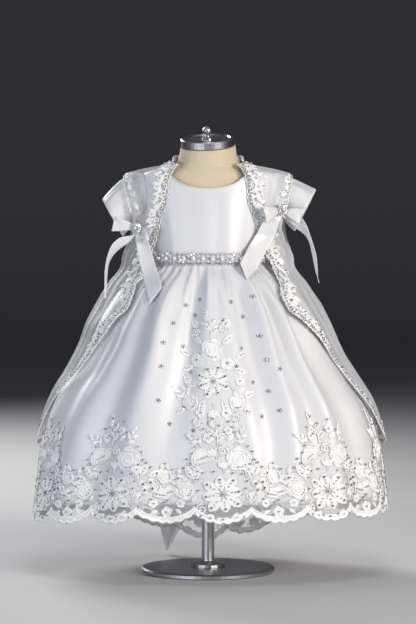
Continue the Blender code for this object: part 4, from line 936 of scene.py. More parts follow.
class Needlework:
    """Cords, padded patches and beads worked on one surface, each kind made as one piece."""

    def __init__(self, surface, lift):
        self.surface, self.lift = surface, lift
        self.cords, self.patches, self.sequins = MeshHeap(), MeshHeap(), MeshHeap()
        self.eyes, self.stones = MeshHeap(), MeshHeap()

    def on(self, flat, lift=0.0):
        """Points over the surface at flat places, and its normals there."""
        points, normals = self.surface.read(flat)
        return points + normals * (self.lift + lift), normals

    def cord(self, flat, width=0.0013, height=0.0010, lift=0.0002):
        points, normals = self.on(flat, lift)
        add_cord(self.cords, points, normals, width, height)

    def ring(self, outline, width=0.0012):
        self.cord(np.concatenate([outline, outline[:1]]), width)

    def patch(self, outline, padding):
        """A filled shape that swells from its edge to its middle."""
        middle = outline.mean(axis=0)
        edge, _ = self.on(outline)
        swell, _ = self.on(middle + (outline - middle) * PATCH_INNER, padding * PATCH_SWELL)
        top, _ = self.on(middle, padding)
        count = len(outline)
        faces = []
        for k in range(count):
            beside = (k + 1) % count
            faces.append((k, beside, count + beside, count + k))
            faces.append((count + k, count + beside, 2 * count))
        self.patches.add(np.concatenate([edge, swell, top]), faces)

    def band(self, outer, inner, padding=0.0008):
        """A padded strip between two paths of equally many flat points."""
        low, _ = self.on(outer)
        high, _ = self.on(inner)
        top, _ = self.on((outer + inner) / 2, padding)
        self.patches.add(np.stack([low, top, high]), grid_faces(3, len(outer)).tolist())

    def fringe(self, path, outward, length, width):
        """Short straight lashes along a path, each from its flat point along its outward way."""
        root, normals = self.on(path)
        tip, _ = self.on(path + outward * length, 0.0004)
        side = unit(np.cross(tip - root, normals)) * width / 2
        lash = np.stack([root - side, root + side, root + normals * width, tip], axis=1)
        for points in lash:
            self.cords.add(points, ((0, 1, 3), (1, 2, 3), (2, 0, 3), (0, 2, 1)))

    def sequin(self, flat, radius, lift=0.0011):
        points, normals = self.on(flat, lift)
        self.sequins.scatter(SEQUIN, points, normals, radius)
        # A dark bead in the hole, whose colour is painted shade of the hole.
        self.eyes.scatter(SHADE_BEAD, points - normals * SHADE_BEAD_DEPTH, normals, radius * SHADE_BEAD_SHARE)

    def stone(self, flat, radius, lift=0.0004):
        points, normals = self.on(flat, lift)
        turns = np.arange(len(points)) * 0.7
        self.stones.scatter(STONE, points, normals, radius, turns)

    def petal(self, x, y, length, width, turn, belly, tip, rib=False, padding=0.0009):
        outline = moved(petal_outline(length, width, belly, tip), x, y, turn)
        self.patch(outline, padding)
        self.ring(outline)
        if rib:
            line = ((0, 0.1 * length), (0, 0.5 * length), (0, 0.85 * length))
            self.cord(moved(line, x, y, turn), 0.0008, 0.0012, 0.0006)

    def pieces(self, name):
        """The finished pieces, in the order cords, patches, sequins, the dark beads of painted shade in the
        sequins' holes, and stones.
        """
        kinds = (
            (self.cords, "cords", THREAD, True),
            (self.patches, "patches", FILLING, True),
            (self.sequins, "sequins", CLEAR_SEQUIN, True),
            (self.eyes, "eyes", SHADE_BEAD_FINISH, True),
            (self.stones, "stones", CRYSTAL, False),
        )
        worked = [kind for kind in kinds if kind[0].count]
        return [
            heap.piece(f"{name}_{kind}", finish, smooth)
            for heap, kind, finish, smooth in worked
        ]


# Motifs, drawn up from (x, y) and turned anticlockwise by degrees. Sizes are in metres.


def daisy(work, x, y, size, turn):
    """A large flower of eight pointed petals, each with a row of sequins, and stones in its middle."""
    for k in range(8):
        way = turn + 45 * k
        root = moved(((0, 0.16 * size),), x, y, way)[0]
        length = size * (0.86 if k % 2 else 0.74)
        work.petal(*root, length, 0.46 * size, way, 1.35, 0.8)
        row = moved([(0, share * length) for share in (0.34, 0.56, 0.78)], *root, way)
        work.sequin(row[:2], 0.0013)
        work.sequin(row[2:], 0.0023 if size > 0.02 else 0.0014)
    work.sequin(((x, y),), 0.0020)
    work.stone(moved(polar(0.09 * size, np.arange(6) * pi / 3), x, y), 0.0009)


def rose(work, x, y, size, turn):
    """A round rose: lobes round its edge and a spiral of cord in the middle."""
    turns = np.linspace(0, 2 * pi, 30, endpoint=False)
    outline = moved(polar(size * (0.93 + 0.07 * np.cos(5 * turns)), turns), x, y, turn)
    work.patch(outline, 0.0010)
    work.ring(outline, 0.0014)
    spiral = np.linspace(0.6, 4.6 * pi, 40)
    reach = size * 0.74 * (spiral / spiral[-1]) ** 0.8
    work.cord(moved(polar(reach, spiral), x, y, turn), 0.0013, 0.0009, 0.0010)
    for k in range(5):
        arc = radians(72 * k) + np.linspace(-0.5, 0.5, 7)
        bow = size * (0.84 - 0.10 * np.cos(np.linspace(-pi / 2, pi / 2, 7)))
        work.cord(moved(polar(bow, arc), x, y, turn), 0.0010, 0.0008, 0.0006)
    row = ((0.30 * size, -0.62 * size), (0, -0.68 * size), (-0.30 * size, -0.62 * size))
    work.sequin(moved(row, x, y, turn), 0.0013)


def fan(work, x, y, size, turn):
    """A scallop shell: three arches over a row of sequins."""
    arch = np.linspace(radians(-12), radians(192), 15)
    for share, width in ((1.0, 0.0015), (0.78, 0.0011), (0.56, 0.0010)):
        curve = moved(polar(share * size, arch), x, y, turn)
        if share == 1.0:
            work.patch(curve, 0.0007)
        work.cord(curve, width, 0.0010, 0.0006)
    foot = ((-0.95 * size, -0.2 * size), (0, -0.34 * size), (0.95 * size, -0.2 * size))
    work.cord(moved(foot, x, y, turn), 0.0012)
    row = [(share * size, 0.12 * size) for share in (-0.36, -0.12, 0.12, 0.36)]
    work.sequin(moved(row, x, y, turn), 0.0012)


def blossom(work, x, y, size, turn):
    """A small flower of five round petals with a sequin in its middle."""
    for k in range(5):
        work.petal(x, y, size, 0.82 * size, turn + 72 * k, 1.8, 0.55, padding=0.0007)
    work.sequin(((x, y),), max(0.0011, 0.2 * size), 0.0016)


def leaf(work, x, y, size, turn):
    """A pointed leaf with a rib, and with two sequins if it is a larger one."""
    work.petal(x, y, size, 0.42 * size, turn, 0.95, 1.0, rib=True)
    if size > 0.012:
        work.sequin(moved(((0.0, 0.36 * size), (0.0, 0.62 * size)), x, y, turn), 0.0011, 0.0016)


def sprig(work, x, y, size, turn):
    """A bent stem with leaves in turn on its two sides and one at its end."""
    stem = smooth_path(((0, 0), (0.06 * size, 0.4 * size), (-0.04 * size, 0.72 * size)), 5)
    work.cord(moved(stem, x, y, turn), 0.0012)
    for share, way, length in ((0.2, -48, 0.34), (0.42, 52, 0.36), (0.62, -44, 0.30), (0.86, 40, 0.24)):
        at = stem[int(share * (len(stem) - 1))]
        leaf(work, *moved((at,), x, y, turn)[0], length * size, turn + way)
    leaf(work, *moved((stem[-1],), x, y, turn)[0], 0.30 * size, turn + 6)


def curl(work, x, y, size, turn):
    """A scroll that winds up into its own end, with seed sequins along its back."""
    wind = np.linspace(0, 3.1 * pi, 26)
    path = polar(size * (1 - wind / wind[-1] * 0.86), wind) - (size, 0)
    tail = ((0.0, -0.7 * size), (0.03 * size, -0.35 * size))
    work.cord(moved(np.concatenate([tail, path]), x, y, turn), 0.0017, 0.0012)
    back = polar(1.28 * size, wind[1:14:3]) - (size, 0)
    work.sequin(moved(back, x, y, turn), 0.0010)


def quartet(work, x, y, size, turn):
    """Four bold sequins set square, each on a flat petal."""
    spots = polar(0.55 * size, pi / 4 + np.arange(4) * pi / 2)
    work.sequin(moved(spots, x, y, turn), 0.0025)
    for k in range(4):
        work.petal(x, y, size, 0.7 * size, turn + 45 + 90 * k, 1.7, 0.6, padding=0.0003)


def bud(work, x, y, size, turn):
    """Three drops side by side on a short stalk."""
    for way in (-34, 0, 34):
        work.petal(x, y, size, 0.36 * size, turn + way, 1.5, 0.75)
    work.cord(moved(((0, -0.5 * size), (0, 0)), x, y, turn), 0.0011)


MOTIFS = {made.__name__: made for made in (daisy, rose, fan, blossom, leaf, sprig, curl, quartet, bud)}
Motif = namedtuple("Motif", "kind x y size turn")


def work_motifs(work, table, shift=0.0, start=-1e9, end=1e9):
    """Works each motif of a table whose place along the surface lies between start and end."""
    for motif in table:
        if start <= motif.x + shift < end:
            MOTIFS[motif.kind](work, motif.x + shift, motif.y, motif.size, motif.turn)


# ---------------------------------------------------------------- finishes


def feed(tree, socket, value):
    """Sets a socket to a value, or links it to the socket that feeds it."""
    if isinstance(value, bpy.types.NodeSocket):
        tree.links.new(value, socket)
    else:
        socket.default_value = value


def add_node(tree, kind, settings, inputs):
    """A node with its settings and inputs. An input is given by its name or number."""
    node = tree.nodes.new(kind)
    for name, value in settings.items():
        setattr(node, name, value)
    for key, value in inputs.items():
        feed(tree, node.inputs[key], value)
    return node


def math_node(tree, operation, *values):
    return add_node(tree, "ShaderNodeMath", {"operation": operation}, dict(enumerate(values))).outputs[0]


def noise(tree, place, scale, detail):
    given = {"Vector": place, "Scale": scale, "Detail": detail}
    return add_node(tree, "ShaderNodeTexNoise", {}, given).outputs[0]


def scaled_place(tree, place, scale):
    """A place scaled by a number, or by three, one each way."""
    if isinstance(scale, tuple):
        settings, given = {"operation": "MULTIPLY"}, {0: place, 1: scale}
    else:
        settings, given = {"operation": "SCALE"}, {0: place, "Scale": scale}
    return add_node(tree, "ShaderNodeVectorMath", settings, given).outputs[0]


def mixed_color(tree, share, first, second):
    """A colour that goes from the first to the second as share goes from 0 to 1."""
    given = {0: share, 6: first, 7: second}
    return add_node(tree, "ShaderNodeMix", {"data_type": "RGBA"}, given).outputs[2]


# The kind of a socket by how many numbers its value has.
SOCKET_KINDS = {1: "NodeSocketFloat", 3: "NodeSocketVector", 4: "NodeSocketColor"}


def new_group(name, inputs, outputs):
    """An empty shader group. Inputs take their kinds from their values, and outputs are given theirs."""
    group = bpy.data.node_groups.new(name, "ShaderNodeTree")
    for socket, value in inputs.items():
        kind = SOCKET_KINDS[np.size(value)]
        group.interface.new_socket(socket, in_out="INPUT", socket_type=kind).default_value = value
    for socket, kind in outputs.items():
        group.interface.new_socket(socket, in_out="OUTPUT", socket_type=kind)
    return group, group.nodes.new("NodeGroupInput").outputs, group.nodes.new("NodeGroupOutput").inputs


def weave_group():
    """Plain weave: Threads is the number a metre each way, Slub how uneven they are."""
    inputs = {"Vector": (0, 0, 0), "Threads": 1000.0, "Slub": 0.3}
    group, given, found = new_group("weave", inputs, {"Height": "NodeSocketFloat"})
    scaled = scaled_place(group, given["Vector"], given["Threads"])
    place = add_node(group, "ShaderNodeSeparateXYZ", {}, {0: scaled}).outputs
    warp = math_node(group, "SINE", math_node(group, "MULTIPLY", place["X"], pi))
    weft = math_node(group, "SINE", math_node(group, "MULTIPLY", place["Y"], pi))
    crossing = math_node(group, "MULTIPLY", warp, weft)
    slub = math_node(group, "MULTIPLY", noise(group, scaled, 0.18, 3.0), given["Slub"])
    feed(group, found["Height"], math_node(group, "MULTIPLY_ADD", crossing, 0.5, slub))
    return group


def thread_group():
    """Fine lines of parallel thread that run down the cloth, as on satin."""
    inputs = {"Vector": (0, 0, 0), "Lines": 1500.0, "Crinkle": 0.5}
    group, given, found = new_group("thread", inputs, {"Height": "NodeSocketFloat"})
    lines = noise(group, scaled_place(group, given["Vector"], (1.0, 0.03, 1.0)), given["Lines"], 2.0)
    crinkle = math_node(group, "MULTIPLY", noise(group, given["Vector"], 42.0, 3.0), given["Crinkle"])
    feed(group, found["Height"], math_node(group, "MULTIPLY_ADD", lines, 0.12, crinkle))
    return group


def tone_group():
    """Soft uneven tone: the colour moves towards a shade in large patches."""
    inputs = {
        "Vector": (0, 0, 0),
        "Color": (0.8, 0.8, 0.8, 1),
        "Shade": (0.7, 0.7, 0.75, 1),
        "Scale": 14.0,
        "Amount": 0.5,
    }
    group, given, found = new_group("tone", inputs, {"Color": "NodeSocketColor"})
    patches = noise(group, given["Vector"], given["Scale"], 4.0)
    share = math_node(group, "MULTIPLY", patches, given["Amount"])
    feed(group, found["Color"], mixed_color(group, share, given["Color"], given["Shade"]))
    return group


def net_group():
    """Knotted net: High on its threads and Low in its openings. Cells is their number a metre."""
    inputs = {"Vector": (0, 0, 0), "Cells": 700.0, "Thread": 0.2, "Low": 0.1, "High": 0.8}
    group, given, found = new_group("net", inputs, {"Cover": "NodeSocketFloat"})
    cell = {"Vector": given["Vector"], "Scale": given["Cells"], "Randomness": 0.45}
    cells = add_node(group, "ShaderNodeTexVoronoi", {"feature": "DISTANCE_TO_EDGE"}, cell)
    ramp = {
        "Value": cells.outputs["Distance"],
        "From Max": given["Thread"],
        "To Min": given["High"],
        "To Max": given["Low"],
    }
    feed(group, found["Cover"], add_node(group, "ShaderNodeMapRange", {}, ramp).outputs[0])
    return group


def brushed_group():
    """Fine scratches round an upright axis, as on turned metal."""
    inputs = {"Vector": (0, 0, 0), "Scale": 900.0}
    group, given, found = new_group("brushed", inputs, {"Height": "NodeSocketFloat"})
    stretched = scaled_place(group, given["Vector"], (0.04, 0.04, 1.0))
    feed(group, found["Height"], noise(group, stretched, given["Scale"], 2.0))
    return group


WEAVE, THREADS, TONE, NET, BRUSHED = weave_group(), thread_group(), tone_group(), net_group(), brushed_group()


class Finish:
    """A material and its shader, to which the effects are fed."""

    def __init__(self, name, color, roughness, **plain):
        self.material = bpy.data.materials.new(name)
        self.material.use_nodes = True
        self.tree = self.material.node_tree
        self.shader = self.tree.nodes["Principled BSDF"]
        self.shader.inputs["Base Color"].default_value = (*color, 1)
        self.shader.inputs["Roughness"].default_value = roughness
        for socket, value in plain.items():
            self.shader.inputs[socket.replace("_", " ")].default_value = value
        self.color = (*color, 1)

    def cloth_place(self):
        return add_node(self.tree, "ShaderNodeUVMap", {"uv_map": "cloth"}, {}).outputs[0]

    def place(self):
        return add_node(self.tree, "ShaderNodeTexCoord", {}, {}).outputs["Object"]

    def effect(self, group, **inputs):
        return add_node(self.tree, "ShaderNodeGroup", {"node_tree": group}, inputs).outputs

    def bump(self, height, distance, strength):
        given = {"Height": height, "Distance": distance, "Strength": strength}
        made = add_node(self.tree, "ShaderNodeBump", {}, given)
        feed(self.tree, self.shader.inputs["Normal"], made.outputs[0])

    def tone(self, shade, scale, amount):
        given = {"Color": self.color, "Shade": (*shade, 1), "Scale": scale, "Amount": amount}
        toned = self.effect(TONE, Vector=self.place(), **given)
        feed(self.tree, self.shader.inputs["Base Color"], toned["Color"])

    def net(self, cells, thread, low, high):
        """Covers as much as high on the threads of a net, and as low in its openings."""
        given = {"Cells": cells, "Thread": thread, "Low": low, "High": high}
        made = self.effect(NET, Vector=self.cloth_place(), **given)
        feed(self.tree, self.shader.inputs["Alpha"], made["Cover"])


def satin_finish(name, color, shade, roughness):
    made = Finish(name, color, roughness, Specular_IOR_Level=0.65)
    made.tone(shade, 9.0, 0.55)
    threads = made.effect(THREADS, Vector=made.cloth_place(), Lines=1600.0, Crinkle=0.55)
    made.bump(threads["Height"], 0.0012, 0.35)
    return made.material


def net_finish(name, cells, thread, low, high):
    made = Finish(name, (0.84, 0.84, 0.85), 0.6)
    made.tone((0.72, 0.73, 0.78), 20.0, 0.4)
    made.net(cells, thread, low, high)
    return made.material


def thread_finish(name, color, roughness, threads):
    """Packed thread, with the grain of an uneven weave of that many threads a metre."""
    made = Finish(name, color, roughness, Sheen_Weight=0.15)
    made.tone(tuple(0.86 * c for c in color), 120.0, 0.5)
    made.bump(made.effect(WEAVE, Vector=made.place(), Threads=threads, Slub=0.8)["Height"], 0.0003, 0.8)
    return made.material


def metal_finish(name, color, roughness):
    made = Finish(name, color, roughness, Metallic=1.0)
    made.bump(made.effect(BRUSHED, Vector=made.place(), Scale=1400.0)["Height"], 0.0002, 0.25)
    made.tone(tuple(0.75 * c for c in color), 40.0, 0.5)
    return made.material


def linen_finish():
    made = Finish("form_linen", (0.66, 0.575, 0.41), 0.85, Sheen_Weight=0.3)
    made.tone((0.54, 0.455, 0.31), 30.0, 0.6)
    made.bump(made.effect(WEAVE, Vector=made.place(), Threads=1250.0, Slub=1.2)["Height"], 0.0006, 0.8)
    return made.material


# How far round behind the right side seam the front's gathers carry on into the back, in degrees.
GATHERS_END = 34


def thinning(made, gathered, plain):
    """A cover that goes from gathered at the right side seam to plain as the cloth turns to the back."""
    place = add_node(made.tree, "ShaderNodeSeparateXYZ", {}, {"Vector": made.place()}).outputs
    behind = math_node(made.tree, "ARCTAN2", place["Y"], place["X"])
    ends = {"From Min": 0.0, "From Max": radians(GATHERS_END), "To Min": gathered, "To Max": plain}
    settings = {"interpolation_type": "SMOOTHSTEP"}
    return add_node(made.tree, "ShaderNodeMapRange", settings, {"Value": behind, **ends}).outputs["Result"]


def organza_finish(name, low, high, gathered=None):
    """Sheer organza. Gathered organza, with its layers close together, covers more."""
    made = Finish(name, (0.80, 0.81, 0.84), 0.45, Sheen_Weight=0.4)
    made.tone((0.66, 0.68, 0.74), 8.0, 0.4)
    if gathered:
        low, high = thinning(made, gathered[0], low), thinning(made, gathered[1], high)
    made.net(1300.0, 0.22, low, high)
    return made.material


def pearl_finish(name, color, shade):
    made = Finish(name, color, 0.22, Coat_Weight=0.8, Coat_Roughness=0.08)
    made.tone(shade, 320.0, 0.7)
    made.bump(made.effect(WEAVE, Vector=made.place(), Threads=1800.0, Slub=0.6)["Height"], 0.00004, 0.4)
    return made.material


def stone_finish(name, color, roughness):
    made = Finish(name, color, roughness, Metallic=0.55, Coat_Weight=1.0, Coat_Roughness=0.03)
    made.tone(tuple(0.55 * c for c in color), 700.0, 0.8)
    return made.material


SATIN_CLOTH = satin_finish("satin", (0.66, 0.66, 0.675), (0.57, 0.585, 0.645), 0.43)
RIBBON_SATIN = satin_finish("ribbon_satin", (0.68, 0.68, 0.69), (0.60, 0.605, 0.65), 0.33)
ORGANZA_CLOTH = organza_finish("organza", 0.24, 0.42)
GATHERED_ORGANZA = organza_finish("gathered_organza", 0.52, 0.74)
BACK_ORGANZA = organza_finish("back_organza", 0.24, 0.40, gathered=(0.52, 0.74))
LACE_NET = net_finish("lace_net", 620.0, 0.17, 0.10, 0.50)
FINE_NET = net_finish("fine_net", 900.0, 0.18, 0.08, 0.45)
THREAD = thread_finish("lace_cord", (0.95, 0.95, 0.95), 0.5, 1500.0)
FILLING = thread_finish("lace_filling", (0.82, 0.82, 0.83), 0.7, 1900.0)
CLEAR_SEQUIN = pearl_finish("clear_sequin", (0.88, 0.88, 0.90), (0.74, 0.75, 0.80))
# A near-black bead colour that is painted shade in each sequin's hole.
SHADE_BEAD_FINISH = stone_finish("seed_bead", (0.07, 0.07, 0.08), 0.18)
CRYSTAL = stone_finish("crystal", (0.82, 0.83, 0.87), 0.13)
SMOKED_CRYSTAL = stone_finish("smoked_crystal", (0.34, 0.35, 0.40), 0.08)
SILVER = metal_finish("silver_setting", (0.70, 0.70, 0.72), 0.26)
PEARL_FINISH = pearl_finish("pearl", (0.83, 0.80, 0.76), (0.70, 0.70, 0.78))
LINEN = linen_finish()
STEEL = metal_finish("brushed_steel", (0.50, 0.50, 0.52), 0.30)
DARK_STEEL = metal_finish("stand_steel", (0.42, 0.42, 0.44), 0.36)
SILVER_BRAID = thread_finish("silver_braid", (0.62, 0.62, 0.64), 0.35, 1200.0)

# ---------------------------------------------------------------- bodice, sleeves and skirt

CLOTH_THICKNESS = 0.0008
# Where the bodice's panels end at the sides, and start beside the closure at the back, in degrees.
PANEL_SIDE = 89.83
SEAM_ANGLE = 0.11
SIDE_SEAM_ANGLE = 0.02
BODICE_ROWS = 50
# The fold along the neck: how far below the edge it lies, its width and its height.
NECK_FOLD_DROP = 0.0004
NECK_FOLD = (0.0018, 0.0012)


def bodice_sheet(name, first, last, columns, neck, middle):
    """A bodice panel from the waist to its neck edge, with the fold along that edge."""
    from_middle = np.linspace(first, last, columns)
    start = side_length(WAIST + SEAM_GAP / 2)
    share = np.linspace(0, 1, BODICE_ROWS)[:, None]
    edge_angles = np.abs(from_middle) if middle == 0 else 180 - np.abs(from_middle)
    tops = side_length(column_of(neck, "height", edge_angles))
    heights = height_at(start + share * (tops - start))
    grid = bodice_point(middle + from_middle * armhole_angle(heights) / 90, heights)
    panel = node_sheet(name, "satin", grid, SATIN_CLOTH, "satin", CLOTH_THICKNESS)
    edge = MeshHeap()
    add_cord(edge, grid[-1] - (0, 0, NECK_FOLD_DROP), surface_normal(grid)[-1], *NECK_FOLD)
    return panel, stands_for(edge.piece(f"{name}_satin_neck_fold", SATIN_CLOTH), "satin")


bodices = {
    "front": bodice_sheet("bodice_front", -PANEL_SIDE, PANEL_SIDE, 101, FRONT_NECK, 0),
    "right": bodice_sheet("bodice_back_right", -SEAM_ANGLE, -PANEL_SIDE, 51, BACK_NECK, 180),
    "left": bodice_sheet("bodice_back_left", SEAM_ANGLE, PANEL_SIDE, 51, BACK_NECK, 180),
}

# How far outside the armhole's edge and the cuff's given line a sleeve's cloth lies.
SLEEVE_OUTER = 0.0015
SLEEVE_COLUMNS = 96
SLEEVE_ROWS = 26
# How far the sleeve's seam allowance keeps it off the bodice, and how much more under the arm.
SLEEVE_CLEAR = 0.0002
UNDERARM_EASE = 0.0012
# How far the puff leans outwards as it rises, and how much of a pleat is gone at the cuff.
PUFF_LEAN = 0.45
PLEAT_LOSS = 0.72
CUFF_CORD = (0.0018, 0.0013)
CUFF_BEADS = 74
CUFF_BEAD_RADIUS = 0.0009
# Pleats at the head of a sleeve: the turn round the armhole in degrees, half width and rise.
SleevePleat = namedtuple("SleevePleat", "turn spread rise")
SLEEVE_PLEATS = (
    SleevePleat(28, 7, -0.0014),
    SleevePleat(46, 6, 0.0016),
    SleevePleat(63, 6, -0.0018),
    SleevePleat(80, 6, 0.0017),
    SleevePleat(98, 6, -0.0018),
    SleevePleat(116, 6, 0.0016),
    SleevePleat(133, 7, -0.0014),
    SleevePleat(205, 14, 0.0012),
    SleevePleat(248, 12, -0.0014),
    SleevePleat(296, 13, 0.0012),
    SleevePleat(336, 12, -0.0012),
)


def armhole_ring(side, turns, margin, clear):
    """Points round the armhole's edge, moved out in the bodice's face by margin and off it by clear."""
    angles = 90 - (ARMHOLE_HALF_ANGLE + margin / DEGREE_LENGTH) * np.cos(turns)
    heights = ARMHOLE_HEIGHT + (ARMHOLE_HALF_HEIGHT + margin) * np.sin(turns)
    return gown_point(side * angles, heights) + gown_normal(side * angles, heights) * clear


def sleeve_grid(sleeve):
    """The inner face of a sleeve, from the armhole to its cuff, with its pleats."""
    turns = np.arange(SLEEVE_COLUMNS) * 2 * pi / SLEEVE_COLUMNS
    ease = UNDERARM_EASE * (-np.sin(turns)).clip(0)[:, None] ** 2
    start = armhole_ring(sleeve.side, turns, SLEEVE_OUTER, SEAM_GAP + SLEEVE_CLEAR + ease)
    top = np.array((sleeve.side * sleeve.top_x, 0, sleeve.top_z))
    bottom = np.array((sleeve.side * sleeve.bottom_x, 0, sleeve.bottom_z))
    middle, half = (top + bottom) / 2, (top - bottom) / 2
    along = half * (1 + SLEEVE_OUTER / np.linalg.norm(half))
    forward = np.array((0, -(sleeve.half_depth + SLEEVE_OUTER), 0))
    cuff = middle + np.sin(turns)[:, None] * along + np.cos(turns)[:, None] * forward
    share = np.linspace(0, 1, SLEEVE_ROWS)[:, None, None]
    plain = start * (1 - share) + cuff * share
    lift = sleeve.puff * np.sin(pi * share**0.8) * np.sin(turns).clip(0)[:, None]
    grid = plain + lift * (PUFF_LEAN * sleeve.side, 0, 1)
    out = unit(grid - plain.mean(axis=1, keepdims=True))
    rise = np.zeros(SLEEVE_COLUMNS)
    for pleat in SLEEVE_PLEATS:
        rise += pleat.rise * np.exp(-((turned_away(np.degrees(turns), pleat.turn) / pleat.spread) ** 2))
    fade = smooth_step(share / 0.14) * (1 - PLEAT_LOSS * smooth_step(share))
    return grid + out * rise[:, None] * fade


def sleeve_pieces(sleeve):
    """A sleeve with its turned cuff edge and the tiny beads sewn along it."""
    grid = sleeve_grid(sleeve)
    name = f"sleeve_{sleeve.name}"
    # The faces of both sleeves turn inwards, so that their thickness comes outside the grid. The two
    # mirror each other, so those of the right one are turned round.
    faces = grid_faces(*grid.shape[:2], closed=True)
    if sleeve.side > 0:
        faces = faces[:, ::-1]
    piece = add_piece(f"{name}_satin", grid.reshape(-1, 3), faces, SATIN_CLOTH, flat_of(grid))
    thicken(piece, "cloth_thickness", CLOTH_THICKNESS, -1)
    stands_for(piece, "satin", name)
    ring = np.concatenate([grid[-1], grid[-1][:1]])
    centre = grid[-1].mean(axis=0)
    out = unit(ring - centre)
    away = unit(centre - grid[0].mean(axis=0))
    trim = MeshHeap()
    add_cord(trim, ring - out * 0.0003, out, *CUFF_CORD)
    places = np.linspace(0, SLEEVE_COLUMNS, CUFF_BEADS, endpoint=False)
    at = np.stack([np.interp(places, np.arange(len(ring)), ring[:, k]) for k in range(3)], axis=-1)
    beads = MeshHeap()
    beads.scatter(SEED, at + away * 0.0006, np.broadcast_to(away, at.shape), CUFF_BEAD_RADIUS)
    edge = stands_for(trim.piece(f"{name}_cuff_edge", THREAD), "lace")
    row = stands_for(beads.piece(f"{name}_cuff_beads", PEARL_FINISH), "beading")
    return piece, edge, row


sleeves = [sleeve_pieces(sleeve) for sleeve in SLEEVES]

SKIRT_COLUMNS = 201
SKIRT_ROWS = 70


def skirt_grid(first, last):
    """A panel of the skirt with its creases, from the waist down to the hem."""
    angles = np.linspace(first + SIDE_SEAM_ANGLE, last - SIDE_SEAM_ANGLE, SKIRT_COLUMNS)
    top = WAIST - SEAM_GAP / 2
    share = np.linspace(0, 1, SKIRT_ROWS)[:, None] ** 1.25
    heights = top - (top - hem_height(angles)) * share
    return skirt_point(np.broadcast_to(angles, heights.shape), heights)


skirt_front = node_sheet("skirt_front", "satin", skirt_grid(-90, 90), SATIN_CLOTH, "satin", CLOTH_THICKNESS)
skirt_back = node_sheet("skirt_back", "satin", skirt_grid(90, 270), SATIN_CLOTH, "satin", CLOTH_THICKNESS)

# ---------------------------------------------------------------- hem lace

REPEAT_WIDTH = 0.140
REPEATS = 10
SCALLOP_WAVE = 0.0025
WAVES_PER_SCALLOP = 6
LACE_BAND = 0.0046
SCALLOP_ROUNDNESS = 0.62
HEM_NET_LIFT = 0.0008
HEM_WORK_LIFT = 0.0009
# Width and height of the cord along the scallops and of the one above it, and length and width of
# the lashes.
SCALLOP_CORD = (0.0030, 0.0017)
SCALLOP_INNER_CORD = (0.0020, 0.0013)
SCALLOP_LASH = (0.0042, 0.0008)
# One repeat of the lace, about the middle of its peak, with y up from the satin's hem.
HEM_MOTIFS = (
    Motif("daisy", 0.000, 0.015, 0.0275, 10),
    Motif("rose", 0.021, 0.063, 0.0165, 20),
    Motif("fan", -0.024, 0.062, 0.0150, 24),
    Motif("sprig", -0.006, 0.080, 0.0430, 8),
    Motif("sprig", 0.016, 0.082, 0.0300, -34),
    Motif("sprig", -0.026, 0.079, 0.0260, 46),
    Motif("bud", 0.001, 0.049, 0.0110, 0),
    Motif("curl", 0.006, 0.076, 0.0060, 20),
    Motif("quartet", 0.046, 0.026, 0.0110, 14),
    Motif("rose", -0.047, 0.020, 0.0125, 60),
    Motif("leaf", -0.036, 0.036, 0.0200, 34),
    Motif("leaf", -0.044, 0.034, 0.0170, 74),
    Motif("leaf", -0.034, 0.030, 0.0150, -8),
    Motif("leaf", 0.038, 0.040, 0.0190, -22),
    Motif("leaf", 0.046, 0.040, 0.0170, -66),
    Motif("leaf", 0.035, 0.036, 0.0140, 26),
    Motif("fan", 0.063, 0.012, 0.0100, -10),
    Motif("fan", -0.066, 0.016, 0.0090, 16),
    Motif("curl", 0.036, 0.005, 0.0065, -70),
    Motif("curl", -0.029, 0.000, 0.0065, 120),
    Motif("blossom", 0.070, -0.010, 0.0070, 10),
    Motif("blossom", 0.053, 0.002, 0.0055, 40),
    Motif("blossom", -0.052, 0.002, 0.0055, 70),
    Motif("blossom", 0.017, -0.016, 0.0050, 0),
    Motif("blossom", -0.015, -0.017, 0.0050, 36),
    Motif("leaf", 0.029, -0.008, 0.0110, -112),
    Motif("leaf", -0.036, -0.012, 0.0100, -60),
    Motif("leaf", 0.058, -0.008, 0.0090, 120),
    Motif("leaf", -0.058, -0.006, 0.0090, -130),
    Motif("rose", 0.066, 0.038, 0.0095, 100),
    Motif("leaf", 0.060, 0.047, 0.0120, -24),
    Motif("leaf", 0.071, 0.047, 0.0110, 26),
    Motif("blossom", -0.060, 0.034, 0.0065, 30),
    Motif("leaf", -0.056, 0.041, 0.0110, -10),
    Motif("blossom", -0.031, 0.046, 0.0062, 0),
    Motif("blossom", 0.033, 0.049, 0.0060, 20),
    Motif("leaf", 0.007, 0.088, 0.0120, -50),
    Motif("blossom", -0.017, 0.091, 0.0065, 40),
    Motif("blossom", 0.009, 0.101, 0.0052, 10),
    Motif("bud", -0.009, 0.068, 0.0100, 30),
    Motif("leaf", 0.033, 0.010, 0.0100, -30),
    Motif("leaf", -0.033, 0.012, 0.0090, 150),
    Motif("curl", 0.060, 0.026, 0.0048, 10),
    Motif("curl", -0.040, 0.052, 0.0048, 60),
)
